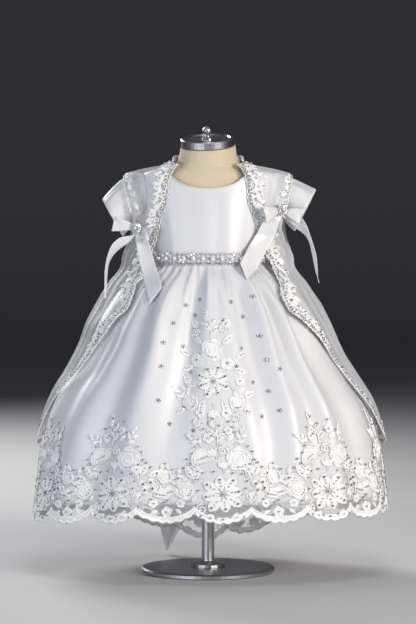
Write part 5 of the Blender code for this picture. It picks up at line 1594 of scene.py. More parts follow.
# Loose sequins between the motifs.
HEM_SEQUINS = (
    (0.0345, 0.0560), (0.0400, 0.0620), (-0.0405, 0.0560), (-0.0130, 0.0940), (0.0040, 0.0990),
    (0.0100, 0.1130), (-0.0110, 0.1170), (0.0560, 0.0430), (-0.0560, 0.0360), (0.0290, 0.0230),
    (-0.0300, 0.0200), (0.0260, -0.0160), (-0.0270, -0.0150), (0.0000, -0.0190), (0.0620, -0.0140),
    (-0.0620, -0.0130), (0.0130, 0.0440), (-0.0110, 0.0460), (0.0500, 0.0080), (-0.0420, 0.0050),
    (0.0310, 0.0330), (0.0250, 0.0430), (-0.0300, 0.0350), (-0.0240, 0.0440), (0.0370, -0.0020),
    (0.0460, -0.0050), (-0.0450, -0.0060), (0.0560, 0.0150), (0.0380, 0.0730), (0.0330, 0.0800),
    (-0.0380, 0.0700), (-0.0340, 0.0790), (-0.0230, 0.1030), (0.0180, 0.0990), (-0.0030, 0.1080),
    (0.0440, 0.0580), (0.0490, 0.0520), (-0.0490, 0.0500), (-0.0450, 0.0620), (0.0650, 0.0560),
    (-0.0640, 0.0480), (0.0090, -0.0160), (-0.0080, -0.0170), (-0.0690, 0.0060), (0.0660, 0.0030),
)


def scallop_arch(x):
    """How far down each scallop bows from the ends of its repeat."""
    return (SCALLOP_DEPTH - 2 * SCALLOP_WAVE) * np.abs(np.cos(2 * pi * x / REPEAT_WIDTH)) ** SCALLOP_ROUNDNESS


def lace_edge(x):
    """How far below the satin's hem the lace's scalloped edge hangs, as a height below zero."""
    wave = np.abs(np.sin(2 * pi * WAVES_PER_SCALLOP * x / REPEAT_WIDTH))
    return -LACE_DROP - scallop_arch(x) - SCALLOP_WAVE * wave


def lace_top(x):
    """How far above the satin's hem the lace reaches."""
    peak = (0.5 + 0.5 * np.cos(2 * pi * x / REPEAT_WIDTH)) ** PEAK_SHARPNESS
    return LACE_VALLEY + (LACE_PEAK - LACE_VALLEY) * peak


def hem_surface():
    """The face of the skirt round its hem, over flat places round the lace's ten repeats."""
    x = np.arange(-0.400, 1.030, 0.0016)
    y = np.arange(-0.034, 0.136, 0.0030)
    angles = np.broadcast_to(REPEAT_START + x / REPEAT_WIDTH * REPEAT_ANGLE, (len(y), len(x)))
    return Surface(x, y, skirt_point(angles, hem_height(angles) + y[:, None]))


hem_face = hem_surface()
LACE_SEAM = LACE_SEAM_NOTCH / SCALLOPS_PER_REPEAT * REPEAT_WIDTH


def hem_lace(side, start):
    """Half of the lace border: its net, its scalloped edge with a fringe, and its motifs."""
    name = f"hem_lace_{side}"
    stop = start + REPEATS / 2 * REPEAT_WIDTH
    x = np.linspace(start + 0.0002, stop - 0.0002, 421)
    low, high = lace_edge(x), lace_top(x)
    net = net_over(hem_face, x, high + (low - high) * np.linspace(0, 1, 22)[:, None], HEM_NET_LIFT)
    sheet = node_sheet(name, "net", net, LACE_NET, "lace")
    work = Needlework(hem_face, HEM_WORK_LIFT)
    x = np.linspace(start + 0.0004, stop - 0.0004, 1201)
    edge = flat_points(x, lace_edge(x))
    back = flat_points(x, LACE_BAND * 0.9 - LACE_DROP - scallop_arch(x))
    work.cord(edge, *SCALLOP_CORD)
    work.cord(back, *SCALLOP_INNER_CORD)
    work.band(edge[::3], back[::3])
    lashes = slice(2, -2, 2)
    work.fringe(edge[lashes], outward_of(edge)[lashes], *SCALLOP_LASH)
    for repeat in range(-3, 8):
        shift = repeat * REPEAT_WIDTH
        work_motifs(work, HEM_MOTIFS, shift, start + 0.004, stop - 0.004)
        loose = [(spot[0] + shift, spot[1]) for spot in HEM_SEQUINS if start < spot[0] + shift < stop]
        if loose:
            work.sequin(loose, 0.0018)
    return sheet, work.pieces(name)


hem_laces = {
    "front": hem_lace("front", LACE_SEAM - REPEATS / 2 * REPEAT_WIDTH),
    "back": hem_lace("back", LACE_SEAM),
}

# ---------------------------------------------------------------- embroidered spray of the skirt

# The flower spray down the middle of the front, with y up from SPRAY_HEIGHT.
SPRAY = (
    Motif("sprig", 0.004, 0.040, 0.0420, 6),
    Motif("rose", 0.006, 0.026, 0.0150, 0),
    Motif("leaf", -0.008, 0.034, 0.0200, 52),
    Motif("leaf", 0.020, 0.034, 0.0200, -50),
    Motif("blossom", -0.014, 0.012, 0.0090, 20),
    Motif("blossom", 0.026, 0.008, 0.0090, 50),
    Motif("leaf", -0.020, 0.004, 0.0180, 110),
    Motif("leaf", 0.034, 0.000, 0.0180, -108),
    Motif("daisy", 0.006, -0.016, 0.0230, 22),
    Motif("sprig", -0.018, -0.022, 0.0320, 118),
    Motif("sprig", 0.030, -0.024, 0.0320, -116),
    Motif("leaf", -0.006, -0.040, 0.0200, 160),
    Motif("leaf", 0.018, -0.040, 0.0200, -160),
    Motif("bud", 0.006, -0.052, 0.0130, 180),
    Motif("curl", -0.012, 0.052, 0.0050, 40),
    Motif("curl", 0.024, 0.052, 0.0050, -40),
    Motif("blossom", -0.017, 0.060, 0.0055, 0),
    Motif("blossom", 0.026, 0.062, 0.0055, 30),
    Motif("leaf", -0.026, 0.018, 0.0150, 66),
    Motif("leaf", 0.038, 0.016, 0.0150, -64),
    Motif("rose", -0.026, -0.044, 0.0110, 50),
    Motif("rose", 0.038, -0.044, 0.0110, 10),
    Motif("leaf", -0.036, -0.038, 0.0150, 60),
    Motif("leaf", 0.048, -0.038, 0.0150, -60),
    Motif("leaf", -0.034, -0.053, 0.0140, 120),
    Motif("leaf", 0.046, -0.053, 0.0140, -120),
    Motif("blossom", -0.011, -0.058, 0.0070, 20),
    Motif("blossom", 0.023, -0.058, 0.0070, 40),
    Motif("blossom", -0.030, -0.014, 0.0060, 0),
    Motif("blossom", 0.042, -0.016, 0.0060, 0),
    Motif("curl", -0.020, -0.068, 0.0050, 130),
    Motif("curl", 0.032, -0.068, 0.0050, -130),
)
SPRAY_HEIGHT = 0.300
# Single stones scattered over the front, each at x and height.
SKIRT_STONES = (
    (-0.030, 0.386), (0.032, 0.391), (-0.046, 0.362), (0.052, 0.370), (-0.018, 0.372), (0.022, 0.366),
    (-0.058, 0.336), (0.070, 0.344), (-0.036, 0.330), (0.046, 0.328), (-0.062, 0.304), (0.078, 0.312),
    (-0.050, 0.276), (0.062, 0.282), (-0.068, 0.258), (0.082, 0.270), (-0.036, 0.248), (0.050, 0.244),
    (-0.056, 0.226), (0.072, 0.236), (0.000, 0.228), (0.030, 0.222), (0.092, 0.300), (0.060, 0.398),
    (-0.010, 0.394), (0.008, 0.352), (-0.024, 0.296), (0.038, 0.304), (0.094, 0.244), (-0.022, 0.218),
)


def front_surface():
    x = np.arange(-0.120, 0.120, 0.0015)
    y = np.arange(0.160, 0.420, 0.0020)
    heights = np.broadcast_to(y[:, None], (len(y), len(x)))
    return Surface(x, y, skirt_point(front_angle(x[None, :] - 0.002, heights), heights))


front_face = front_surface()
spray = Needlework(front_face, 0.0003)
work_motifs(spray, [motif._replace(y=motif.y + SPRAY_HEIGHT) for motif in SPRAY])
spray_work = spray.pieces("skirt_spray")
scattered = MeshHeap()
seats, ups = front_face.read(SKIRT_STONES)
scattered.scatter(STONE, seats + ups * 0.0002, ups, 0.0015, np.arange(len(seats)) * 0.5)
# Five smaller stones round each, turned a little from one to the next.
around = [moved(polar(0.0025, np.arange(5) * 2 * pi / 5 + x * 40), x, y) for x, y in SKIRT_STONES]
seats, ups = front_face.read(np.concatenate(around))
scattered.scatter(STONE, seats, ups, 0.0009, np.arange(len(seats)) * 0.5)
skirt_stones = stands_for(scattered.piece("skirt_stones", SMOKED_CRYSTAL, smooth=False), "beading")

# ---------------------------------------------------------------- beaded belt

PEARL_PITCH = 0.0135
PEARL_RADIUS = 0.0027
RING = (0.0048, 0.0064)
BRAID_SHARE = 0.62
BRAID_THICKNESS = 0.0006


def tilted(ups):
    """The normals leaned a little this way and that, so that stones don't all flash at once."""
    k = np.arange(len(ups))
    return unit(ups + 0.20 * np.stack([np.sin(37 * k), np.sin(23 * k + 1), np.sin(51 * k + 2)], axis=-1))


def belt():
    """The jewelled band: pearls set in rings of stones on a narrow silver braid."""
    angles = np.linspace(-TRIM_END_ANGLE, TRIM_END_ANGLE, 241)
    widest = level_point(GOWN, angles, TRIM_LOW, BAND_EASE + SEAM_GAP + 0.0006)
    tall = TRIM_HIGH - TRIM_LOW
    levels = tall * (0.5 + BRAID_SHARE * np.linspace(0.5, -0.5, 5))
    rows = np.array([widest + (0, 0, up) for up in levels])
    band = node_sheet("waist_trim", "braid", rows, SILVER_BRAID, "beading", BRAID_THICKNESS)
    length = length_along(widest)
    middle = tall / 2
    ends = np.stack([widest, widest + (0, 0, tall)])
    face = Surface(length - length[-1] / 2, np.array((0.0, tall)), ends)
    pearls, stones, beads = MeshHeap(), MeshHeap(), MeshHeap()
    count = int(length[-1] / PEARL_PITCH)
    places = (np.arange(count) - (count - 1) / 2) * PEARL_PITCH
    between = places[:-1] + PEARL_PITCH / 2

    def scatter(heap, template, spots, radius):
        """Things at spots that are each given along the belt and up from its middle."""
        seats, ups = face.read([(along, middle + up) for along, up in spots])
        heap.scatter(template, seats, tilted(ups), radius, np.arange(len(seats)) * 0.8)

    scatter(pearls, PEARL, [(place, 0) for place in places], PEARL_RADIUS)
    ring = [(RING[0] * cos(a), RING[1] * sin(a)) for a in (np.arange(10) + 0.5) * pi / 5]
    scatter(stones, STONE, [(place + x, y) for place in places for x, y in ring], 0.00155)
    scatter(pearls, PEARL, [(place, up) for place in between for up in (-0.0036, 0.0036)], 0.0015)
    scatter(stones, STONE, [(place, 0) for place in between], 0.0017)
    scatter(beads, SEED, [(place, up) for place in between for up in (-0.0068, 0.0068)], 0.0012)
    corners = [(side, up) for side in (-0.0024, 0.0024) for up in (-0.0082, 0.0082)]
    scatter(beads, SEED, [(place + side, up) for place in places for side, up in corners], 0.0009)
    work = [
        stands_for(pearls.piece("waist_trim_pearls", PEARL_FINISH), "beading"),
        stands_for(stones.piece("waist_trim_stones", CRYSTAL, smooth=False), "beading"),
        stands_for(beads.piece("waist_trim_beads", SILVER), "beading"),
    ]
    return band, work


belt_band, belt_work = belt()

# ---------------------------------------------------------------- cape

CAPE_FOLD_SHARE = 0.6
CAPE_BACK_FOLDS = 3.5
CAPE_BACK_SPREAD = 1.2
CAPE_FOLD_RISE = 0.0050
CAPE_FOLD_START = 0.5600
CAPE_FOLD_FADE = 0.1600
LAST_FRONT_ROW = len(CAPE_FRONT) - 1
LAST_BACK_ROW = len(CAPE_SHOULDERS) + len(CAPE_CENTRE) - 1
# Soft folds of the organza that run down from a bow: the share of the row where each starts at the
# bow and ends at the hem, its half width as a share, its rise and the row where it dies away.
CapeFold = namedtuple("CapeFold", "top low spread rise end")
CAPE_FOLDS = {
    "left": (
        CapeFold(0.52, 0.16, 0.085, 0.0030, 17.0),
        CapeFold(0.64, 0.36, 0.070, -0.0026, 18.5),
        CapeFold(0.74, 0.54, 0.065, 0.0036, 19.0),
        CapeFold(0.84, 0.70, 0.060, -0.0028, 18.0),
        CapeFold(0.93, 0.86, 0.060, 0.0030, 17.5),
    ),
    "right": (
        CapeFold(0.50, 0.20, 0.080, 0.0026, 16.0),
        CapeFold(0.61, 0.34, 0.060, -0.0030, 18.0),
        CapeFold(0.70, 0.47, 0.060, 0.0034, 19.0),
        CapeFold(0.80, 0.62, 0.055, -0.0030, 19.0),
        CapeFold(0.88, 0.76, 0.050, 0.0034, 18.0),
        CapeFold(0.96, 0.90, 0.050, -0.0020, 17.0),
    ),
}
# The rows over which such a fold grows out under the bow, dies away and widens, how much wider it
# gets, and the strength of them all.
FOLD_START_ROWS = 1.2
FOLD_END_ROWS = 5
FOLD_WIDENING_ROWS = 12
FOLD_WIDENING = 0.5
FOLD_STRENGTH = 0.6
# Creases over the shoulder, above the bow: row, share along it, half widths and rise.
ShoulderCrease = namedtuple("ShoulderCrease", "row share row_spread spread rise")
SHOULDER_CREASES = (
    ShoulderCrease(3.2, 0.60, 1.6, 0.10, 0.0020),
    ShoulderCrease(4.4, 0.42, 1.3, 0.09, -0.0014),
    ShoulderCrease(5.4, 0.64, 1.2, 0.10, -0.0016),
    ShoulderCrease(2.2, 0.80, 1.5, 0.10, -0.0014),
)


def cape_lift(name, bow_row, rows, shares):
    """How far the folds of a front half stand out at row numbers and shares."""
    rows = rows[:, None]
    lift = np.zeros(np.broadcast(rows, shares).shape)
    down = rows - bow_row
    for fold in CAPE_FOLDS[name]:
        middle = fold.top + (fold.low - fold.top) * down / (LAST_FRONT_ROW - bow_row)
        fade = smooth_step(down / FOLD_START_ROWS) * smooth_step((fold.end - rows) / FOLD_END_ROWS)
        widen = 1 + FOLD_WIDENING * np.clip(down / FOLD_WIDENING_ROWS, 0, 1)
        away = ((shares - middle) / (fold.spread * widen)) ** 2
        lift += FOLD_STRENGTH * fold.rise * fade * np.exp(-away)
    for crease in SHOULDER_CREASES:
        away = ((rows - crease.row) / crease.row_spread) ** 2
        lift += crease.rise * np.exp(-away - ((shares - crease.share) / crease.spread) ** 2)
    return lift


class CapeHalf:
    """A front half of the cape and the flat places along its two edges."""

    def __init__(self, side, name, bow_row):
        self.side, self.name, self.bow_row = side, name, bow_row
        self.rows = np.linspace(0, LAST_FRONT_ROW, 420)
        ends = cape_front_points(side, self.rows, np.broadcast_to((0.0, 1.0), (len(self.rows), 2)))
        self.width = np.linalg.norm(ends[:, 1] - ends[:, 0], axis=-1)
        self.along = length_along(ends)

    def points(self, rows, shares):
        lift = cape_lift(self.name, self.bow_row, rows, shares)
        return cape_front_points(self.side, rows, shares, lift)

    def edge_surface(self, edge, reach, last_row=LAST_FRONT_ROW):
        """The face inward from the front edge (0) or the outer edge (1), x down along that edge."""
        y = np.linspace(-0.0060, reach, 26)
        rows = self.rows[self.rows <= last_row]
        share = np.minimum(y[None, :] / self.width[: len(rows), None], 0.97)
        grid = self.points(rows, share if edge == 0 else 1 - share)
        return Surface(self.along[: len(rows), edge], y, grid.transpose(1, 0, 2))


cape_halves = {bow.name: CapeHalf(bow.side, bow.name, bow.row) for bow in BOWS}


def cape_front_sheet(half):
    """A front half in sheer organza, from the shoulder to the hem and back to the side."""
    rows = np.linspace(0, LAST_FRONT_ROW, 116)
    grid = half.points(rows, np.broadcast_to(np.linspace(0, 1, 34), (len(rows), 34)))
    grid[0, :, 1] -= SEAM_GAP / 2
    grid[rows >= JOIN_ROW, -1, 1] -= SEAM_GAP / 2
    finish = GATHERED_ORGANZA if half.name == "right" else ORGANZA_CLOTH
    return node_sheet(f"cape_front_{half.name}", "organza", grid, finish, "organza")


def cape_back_sheet():
    """The back of the cape in sheer organza, down to its hem behind the lace."""
    rows = np.concatenate([np.linspace(0, LAST_BACK_ROW - 1, 90), [LAST_BACK_ROW - 0.75]])
    grid = cape_back_points(rows, np.broadcast_to(np.linspace(0, 1, 121), (len(rows), 121)))
    grid[:, (0, -1), 1] += SEAM_GAP / 2
    return node_sheet("cape_back", "organza", grid, BACK_ORGANZA, "organza")


cape_fronts = {name: cape_front_sheet(half) for name, half in cape_halves.items()}
cape_back = cape_back_sheet()

# Motifs of the lace along the cape's front edges, for one repeat, with x down the edge, y inward.
EDGE_REPEAT = 0.062
EDGE_MOTIFS = (
    Motif("blossom", 0.010, 0.0100, 0.0112, 10),
    Motif("leaf", 0.019, 0.0040, 0.0160, -74),
    Motif("leaf", 0.018, 0.0120, 0.0150, -36),
    Motif("curl", 0.030, 0.0030, 0.0042, -80),
    Motif("rose", 0.039, 0.0105, 0.0098, 30),
    Motif("leaf", 0.031, 0.0170, 0.0130, 30),
    Motif("leaf", 0.047, 0.0050, 0.0150, -106),
    Motif("leaf", 0.045, 0.0170, 0.0130, -24),
    Motif("blossom", 0.055, 0.0160, 0.0078, 60),
    Motif("leaf", 0.002, 0.0180, 0.0120, -60),
)
SPARSE_MOTIFS = (
    Motif("leaf", 0.004, 0.005, 0.0130, -70),
    Motif("blossom", 0.022, 0.008, 0.0075, 20),
    Motif("leaf", 0.029, 0.004, 0.0130, -100),
    Motif("leaf", 0.029, 0.010, 0.0110, -50),
    Motif("curl", 0.045, 0.005, 0.0042, -80),
    Motif("leaf", 0.054, 0.006, 0.0110, -78),
)
CHEST_SHARE = 0.66
CHEST_REPEAT = EDGE_REPEAT * CHEST_SHARE
CHEST_MOTIFS = tuple(
    motif._replace(x=motif.x * CHEST_SHARE, y=0.86 * motif.y, size=motif.size * CHEST_SHARE)
    for motif in EDGE_MOTIFS
)
# How the edge lace goes on down a side: dense to the first length, sparse to the second, then only
# its cord and a few sequins as far as the corner, which is dense over the last length.
EDGE_STRETCHES = {"left": (0.330, 0.455, 0.030), "right": (0.330, 0.400, 0.130)}
EDGE_SCALLOP = 0.0090
EDGE_SCALLOP_DEPTH = 0.0024
# The net's width at the start, the ends of the dense and sparse stretches, and round the corner.
EDGE_WIDTHS = (0.026, 0.023, 0.012, 0.009, 0.026, 0.028)
CORNER_BLEND = 0.012
CAPE_NET_LIFT = 0.0005
CAPE_WORK_LIFT = 0.0006
# How far apart the points of a lace's corded edge are, and how far from its ends it stops.
CORD_STEP = 0.0011
CORD_MARGIN = 0.001


def scalloped_edge(x, pitch, depth):
    """A shallow scalloped edge: zero at the ends of each scallop and below it between them."""
    return -depth * np.abs(np.sin(pi * x / pitch)) ** 0.8


def edge_cord(work, total, pitch, depth):
    """A fine corded edge in scallops along a lace of a total length, with a fringe of short lashes."""
    x = np.arange(CORD_MARGIN, total - CORD_MARGIN, CORD_STEP)
    edge = flat_points(x, scalloped_edge(x, pitch, depth))
    work.cord(edge, 0.0011, 0.0010)
    work.fringe(edge[1:-1:2], outward_of(edge)[1:-1:2], 0.0014, 0.0005)


def cape_edge_lace(half):
    """The lace along a front edge of the cape, dense at the chest and thin towards the hem."""
    face = half.edge_surface(0, 0.034)
    total = face.x[-1]
    work = Needlework(face, CAPE_WORK_LIFT)
    edge_cord(work, total, EDGE_SCALLOP, EDGE_SCALLOP_DEPTH)
    dense, sparse, corner = EDGE_STRETCHES[half.name]
    chest = np.interp(half.bow_row, half.rows, half.along[:, 0])
    for repeat in range(12):
        shift = repeat * EDGE_REPEAT
        work_motifs(work, CHEST_MOTIFS, repeat * CHEST_REPEAT, 0.004, chest)
        work_motifs(work, EDGE_MOTIFS, shift, chest, dense)
        work_motifs(work, SPARSE_MOTIFS, shift, dense, sparse)
        work_motifs(work, EDGE_MOTIFS, shift, total - corner, total - 0.004)
    # A wavy row of sequins near the edge, thinned on the plain stretch, and a second row further in.
    spots = np.arange(0.006, total - 0.004, 0.0048)
    plain = (spots > sparse) & (spots < total - corner)
    row = np.concatenate([spots[~plain], spots[plain][::4]])
    work.sequin(flat_points(row, 0.0028 + 0.0012 * np.sin(row * 310)), 0.0017, 0.0018)
    inner = spots[spots < dense][::2]
    work.sequin(flat_points(inner + 0.002, 0.0150 + 0.0060 * np.sin(inner * 190)), 0.0015, 0.0018)
    x = np.linspace(0, total, 260)
    turn = total - corner
    wide = np.interp(x, (0, dense, sparse, turn - CORNER_BLEND, turn, total), EDGE_WIDTHS)
    y = (wide + 0.0010) * np.linspace(0, 1, 9)[:, None] - 0.0010
    name = f"cape_edge_lace_{half.name}"
    net = net_over(face, x, y, CAPE_NET_LIFT)
    return node_sheet(name, "net", net, FINE_NET, "lace"), work.pieces(name)


ARM_MOTIFS = (
    Motif("leaf", 0.004, 0.007, 0.0120, -72),
    Motif("blossom", 0.020, 0.009, 0.0060, 30),
    Motif("leaf", 0.027, 0.008, 0.0115, -96),
    Motif("curl", 0.043, 0.006, 0.0042, -80),
)


def cape_arm_lace(half):
    """The narrow lace round an arm opening, from the top of the shoulder to the bow."""
    face = half.edge_surface(1, 0.016, ARM_LACE_ROWS - 1)
    total = face.x[-1]
    work = Needlework(face, CAPE_WORK_LIFT)
    edge_cord(work, total, 0.0080, 0.0020)
    for repeat in range(3):
        work_motifs(work, ARM_MOTIFS, repeat * 0.050, 0.002, total - 0.004)
    work.sequin(flat_points(np.arange(0.005, total - 0.003, 0.0070), 0.0036), 0.0011)
    y = np.linspace(-0.0008, 0.0125, 6)[:, None]
    net = net_over(face, np.linspace(0, total, 60), y, CAPE_NET_LIFT)
    name = f"cape_arm_lace_{half.name}"
    return node_sheet(name, "net", net, FINE_NET, "lace"), work.pieces(name)


# Motifs of the deep lace round the cape's back hem, one repeat, with y up from its lowest points.
CAPE_HEM_REPEAT = 0.080
CAPE_HEM_DEPTH = 0.041
CAPE_HEM_SCALLOP = 0.0055
CAPE_HEM_WAVE = 0.0008
CAPE_HEM_BAND = 0.0036
CAPE_HEM_MOTIFS = (
    Motif("daisy", 0.020, 0.022, 0.0160, 14),
    Motif("leaf", 0.036, 0.026, 0.0150, -40),
    Motif("leaf", 0.037, 0.020, 0.0140, -92),
    Motif("rose", 0.058, 0.024, 0.0115, 20),
    Motif("curl", 0.046, 0.012, 0.0052, -80),
    Motif("leaf", 0.070, 0.028, 0.0150, -28),
    Motif("leaf", 0.071, 0.020, 0.0130, -84),
    Motif("blossom", 0.001, 0.013, 0.0060, 30),
    Motif("blossom", 0.042, 0.037, 0.0055, 0),
    Motif("bud", 0.006, 0.032, 0.0095, 10),
)


def cape_hem_lace():
    """The deep scalloped lace that borders the back of the cape."""
    across = np.linspace(0, 1, 901)
    hem = cape_back_points(np.array([float(LAST_BACK_ROW)]), across[None, :])[0]
    # The face runs up from the last row of the cape's back, and straight down a little below it.
    y = np.linspace(-0.004, 0.046, 26)
    up_rows = np.interp(y, (-0.004, 0.0, 0.011, 0.042, 0.046), (0, 0, 1, 2, 2.1))
    grid = cape_back_points(LAST_BACK_ROW - up_rows, np.broadcast_to(across, (len(y), len(across))))
    grid[:, :, 2] -= np.clip(-y, 0, None)[:, None]
    face = Surface(length_along(hem), y, grid)
    work = Needlework(face, 0.0008)
    total = face.x[-1]

    def low(x):
        return CAPE_HEM_SCALLOP * (1 - np.abs(np.sin(2 * pi * x / CAPE_HEM_REPEAT)) ** 0.8)

    x = np.arange(CORD_MARGIN, total - CORD_MARGIN, 0.0012)
    wave = CAPE_HEM_WAVE * np.abs(np.sin(12 * pi * x / CAPE_HEM_REPEAT))
    edge, back = flat_points(x, low(x) - wave), flat_points(x, low(x) + CAPE_HEM_BAND)
    work.cord(edge, 0.0016, 0.0012)
    work.cord(back[::2], 0.0012, 0.0010)
    work.band(edge[::2], back[::2])
    work.fringe(edge[1:-1], outward_of(edge)[1:-1], 0.0020, 0.0005)
    for repeat in range(-1, int(total / CAPE_HEM_REPEAT) + 1):
        work_motifs(work, CAPE_HEM_MOTIFS, repeat * CAPE_HEM_REPEAT, 0.010, total - 0.010)
    spots = np.arange(0.008, total - 0.006, 0.0110)
    work.sequin(flat_points(spots, 0.0095 + 0.0020 * np.sin(spots * 140)), 0.0013)
    x = np.linspace(0.0005, total - 0.0005, 361)
    y = low(x) + (CAPE_HEM_DEPTH - low(x)) * np.linspace(0, 1, 12)[:, None]
    net = net_over(face, x, y, 0.0006)
    return node_sheet("cape_hem_lace", "net", net, FINE_NET, "lace"), work.pieces("cape_hem_lace")


COLLAR_MOTIFS = (
    Motif("leaf", 0.003, 0.004, 0.0090, -50),
    Motif("blossom", 0.015, 0.006, 0.0045, 20),
    Motif("leaf", 0.021, 0.004, 0.0090, -44),
    Motif("curl", 0.033, 0.004, 0.0030, -70),
)
# The share of its height that the collar has at its ends, and the degrees over which it rises.
COLLAR_END_SHARE = 0.25
COLLAR_END_TURN = 50


def collar_lace():
    """The low standing collar of lace round the back of the neck."""
    turns = np.linspace(*COLLAR_ENDS, 361)
    from_side = np.clip((90 - np.abs(180 - turns)) / 90, 0, 1)
    shoulder = CAPE_SHOULDERS[0]
    foot = shoulder.side_z - (shoulder.side_z - shoulder.back_z) * from_side
    foot = foot + COLLAR_LIFT_FRONT + (COLLAR_LIFT_BACK - COLLAR_LIFT_FRONT) * smooth_step(from_side * 12)
    y = np.linspace(0, COLLAR_HEIGHT, 13)
    flare = np.interp(y / COLLAR_HEIGHT, *zip(*COLLAR_ROWS))
    ends = np.minimum(turns - turns[0], turns[-1] - turns)
    rise = COLLAR_END_SHARE + (1 - COLLAR_END_SHARE) * smooth_step(ends / COLLAR_END_TURN)
    heights = foot + y[:, None] * rise
    grid = level_point(GOWN, np.broadcast_to(turns, heights.shape), heights, flare[:, None])
    face = Surface(length_along(grid[0]), y, grid)
    total = face.x[-1]
    work = Needlework(face, 0.0002)
    x = np.arange(0.001, total - 0.001, 0.0010)
    top = np.minimum(COLLAR_HEIGHT - 0.0010 - scalloped_edge(x, 0.0070, 0.0014), COLLAR_HEIGHT)
    work.cord(flat_points(x, top - 0.0006), 0.0012, 0.0010)
    work.cord(flat_points(x[::3], 0.0012), 0.0014, 0.0010)
    for repeat in range(12):
        work_motifs(work, COLLAR_MOTIFS, repeat * 0.040, 0.001, total - 0.004)
    work.sequin(flat_points(np.arange(0.004, total - 0.003, 0.0080), 0.0098), 0.0010)
    sheet = node_sheet("cape_collar", "net", grid[::2, ::3][::-1], FINE_NET, "lace")
    return sheet, work.pieces("cape_collar")


edge_laces = {name: cape_edge_lace(half) for name, half in cape_halves.items()}
arm_laces = {name: cape_arm_lace(half) for name, half in cape_halves.items()}
hem_border = cape_hem_lace()
collar = collar_lace()

# ---------------------------------------------------------------- bows and sash

LOOP_STEPS = 49
RIBBON_STEPS = 13
RIBBON_THICKNESS = 0.0005
PLEATS = 3
# A loop's pleats at its knot, its ripple, and how far its two edges lip out where it is open.
LOOP_PLEAT = 0.0007
LOOP_RIPPLE = 0.0009
LOOP_LIP = 0.0012
# Roundness of a knot: across, towards its ends and along them, and the depth of its pleats.
KNOT_POWER = 0.55
KNOT_END_POWER = 0.35
KNOT_SIDE_POWER = 0.75
KNOT_PLEAT = 0.045
# A tail's pleats under its knot, and the share of its length that they take up.
TAIL_PLEAT = 0.0005
PLEAT_SHARE = 0.16
# The width of ribbon for which the curl of a tail's edges is given.
CURL_WIDTH = 0.02
# How far a tail's ripple turns down the tail, and from its middle to an edge, in radians.
RIPPLE_DOWN = 9
RIPPLE_ACROSS = 1.4
# The share of a tail's length at which its taper starts.
TAPER_START = 0.35
SASH_FOLD = 0.00045
# How far a sash tail ripples, and how far it stands off the skirt beyond its clearance.
SASH_RIPPLE = 0.0008
SASH_EASE = 0.0010


def loop_grid(place, knot, loop, crown):
    """A bow loop in its knot's frame, pleated where the knot pinches it and crowned where it opens."""
    along = Vector((loop.reach, loop.rise, 0))
    length = along.length
    along.normalize()
    across = Vector((-along.y, along.x, 0))
    pinch, layer = knot[1] * LOOP_PINCH_SHARE, RIBBON * LOOP_LAYER_SHARE
    start = (knot[0] / 2 + pinch / 2 * abs(along.y) + 2 * SEAM_GAP) / abs(along.x)
    rows = []
    for turn in np.linspace(0, pi, LOOP_STEPS):
        out = start + (length - start) * sin(turn)
        open_up = abs(sin(turn)) ** LOOP_ROUNDNESS
        swell = loop.bulge * sin(turn)
        leaning = (out - start) * tan(radians(loop.lean))
        depth = knot[2] / 2 + cos(turn) * (layer + swell) + LOOP_SPRING * swell + leaning
        half = (pinch + (loop.width - pinch) * open_up) / 2
        row = []
        for share in np.linspace(-1, 1, RIBBON_STEPS):
            pleat = LOOP_PLEAT * (1 - open_up) * cos(PLEATS * pi * share) * cos(turn)
            arch = crown * open_up * (share * share - 0.5) * cos(turn)
            ease = LOOP_RIPPLE * open_up * sin(2.2 * share + 5 * turn)
            spot = along * (out + LOOP_LIP * share * share * open_up) + across * (half * share)
            row.append(place @ (spot + Vector((0, 0, depth + pleat + arch + ease))))
        rows.append(row)
    return np.array(rows)


def knot_piece(node, place, size, finish, wraps, slot):
    """The wrapped middle of a bow: a rounded pillow with pleats that run round it."""
    turns, levels = 40, 21

    def rounded(part, power):
        return np.sign(part) * abs(part) ** power

    rows = []
    for tilt in np.linspace(-0.5 * pi, 0.5 * pi, levels):
        ring = max(cos(tilt), 0.0) ** KNOT_END_POWER
        reach = ring * (1 + KNOT_PLEAT * cos(wraps * pi * sin(tilt)) * ring)
        row = []
        for turn in np.arange(turns) * 2 * pi / turns:
            x = size[0] / 2 * rounded(cos(turn), KNOT_POWER) * reach
            y = size[1] / 2 * rounded(sin(tilt), KNOT_SIDE_POWER)
            z = size[2] / 2 * rounded(sin(turn), KNOT_POWER) * reach
            row.append(place @ Vector((x, y, z + size[2] / 2)))
        rows.append(row)
    grid = np.array(rows)
    faces = grid_faces(levels, turns, closed=True)[:, ::-1]
    piece = add_piece(f"{node}_wrap", grid.reshape(-1, 3), faces, finish, flat_of(grid))
    return stands_for(piece, slot, node)


def smooth_rows(table, steps):
    """Row numbers and rows of a table read smoothly, but straight over its last stretch, a cut end."""
    numbers = np.arange(len(table))
    places = np.linspace(0, len(table) - 1, steps)
    columns = table.T
    smooth = np.stack([smooth_curve(numbers, column, places) for column in columns], axis=-1)
    straight = np.stack([np.interp(places, numbers, column) for column in columns], axis=-1)
    return places, np.where((places > len(table) - 2)[:, None], straight, smooth)


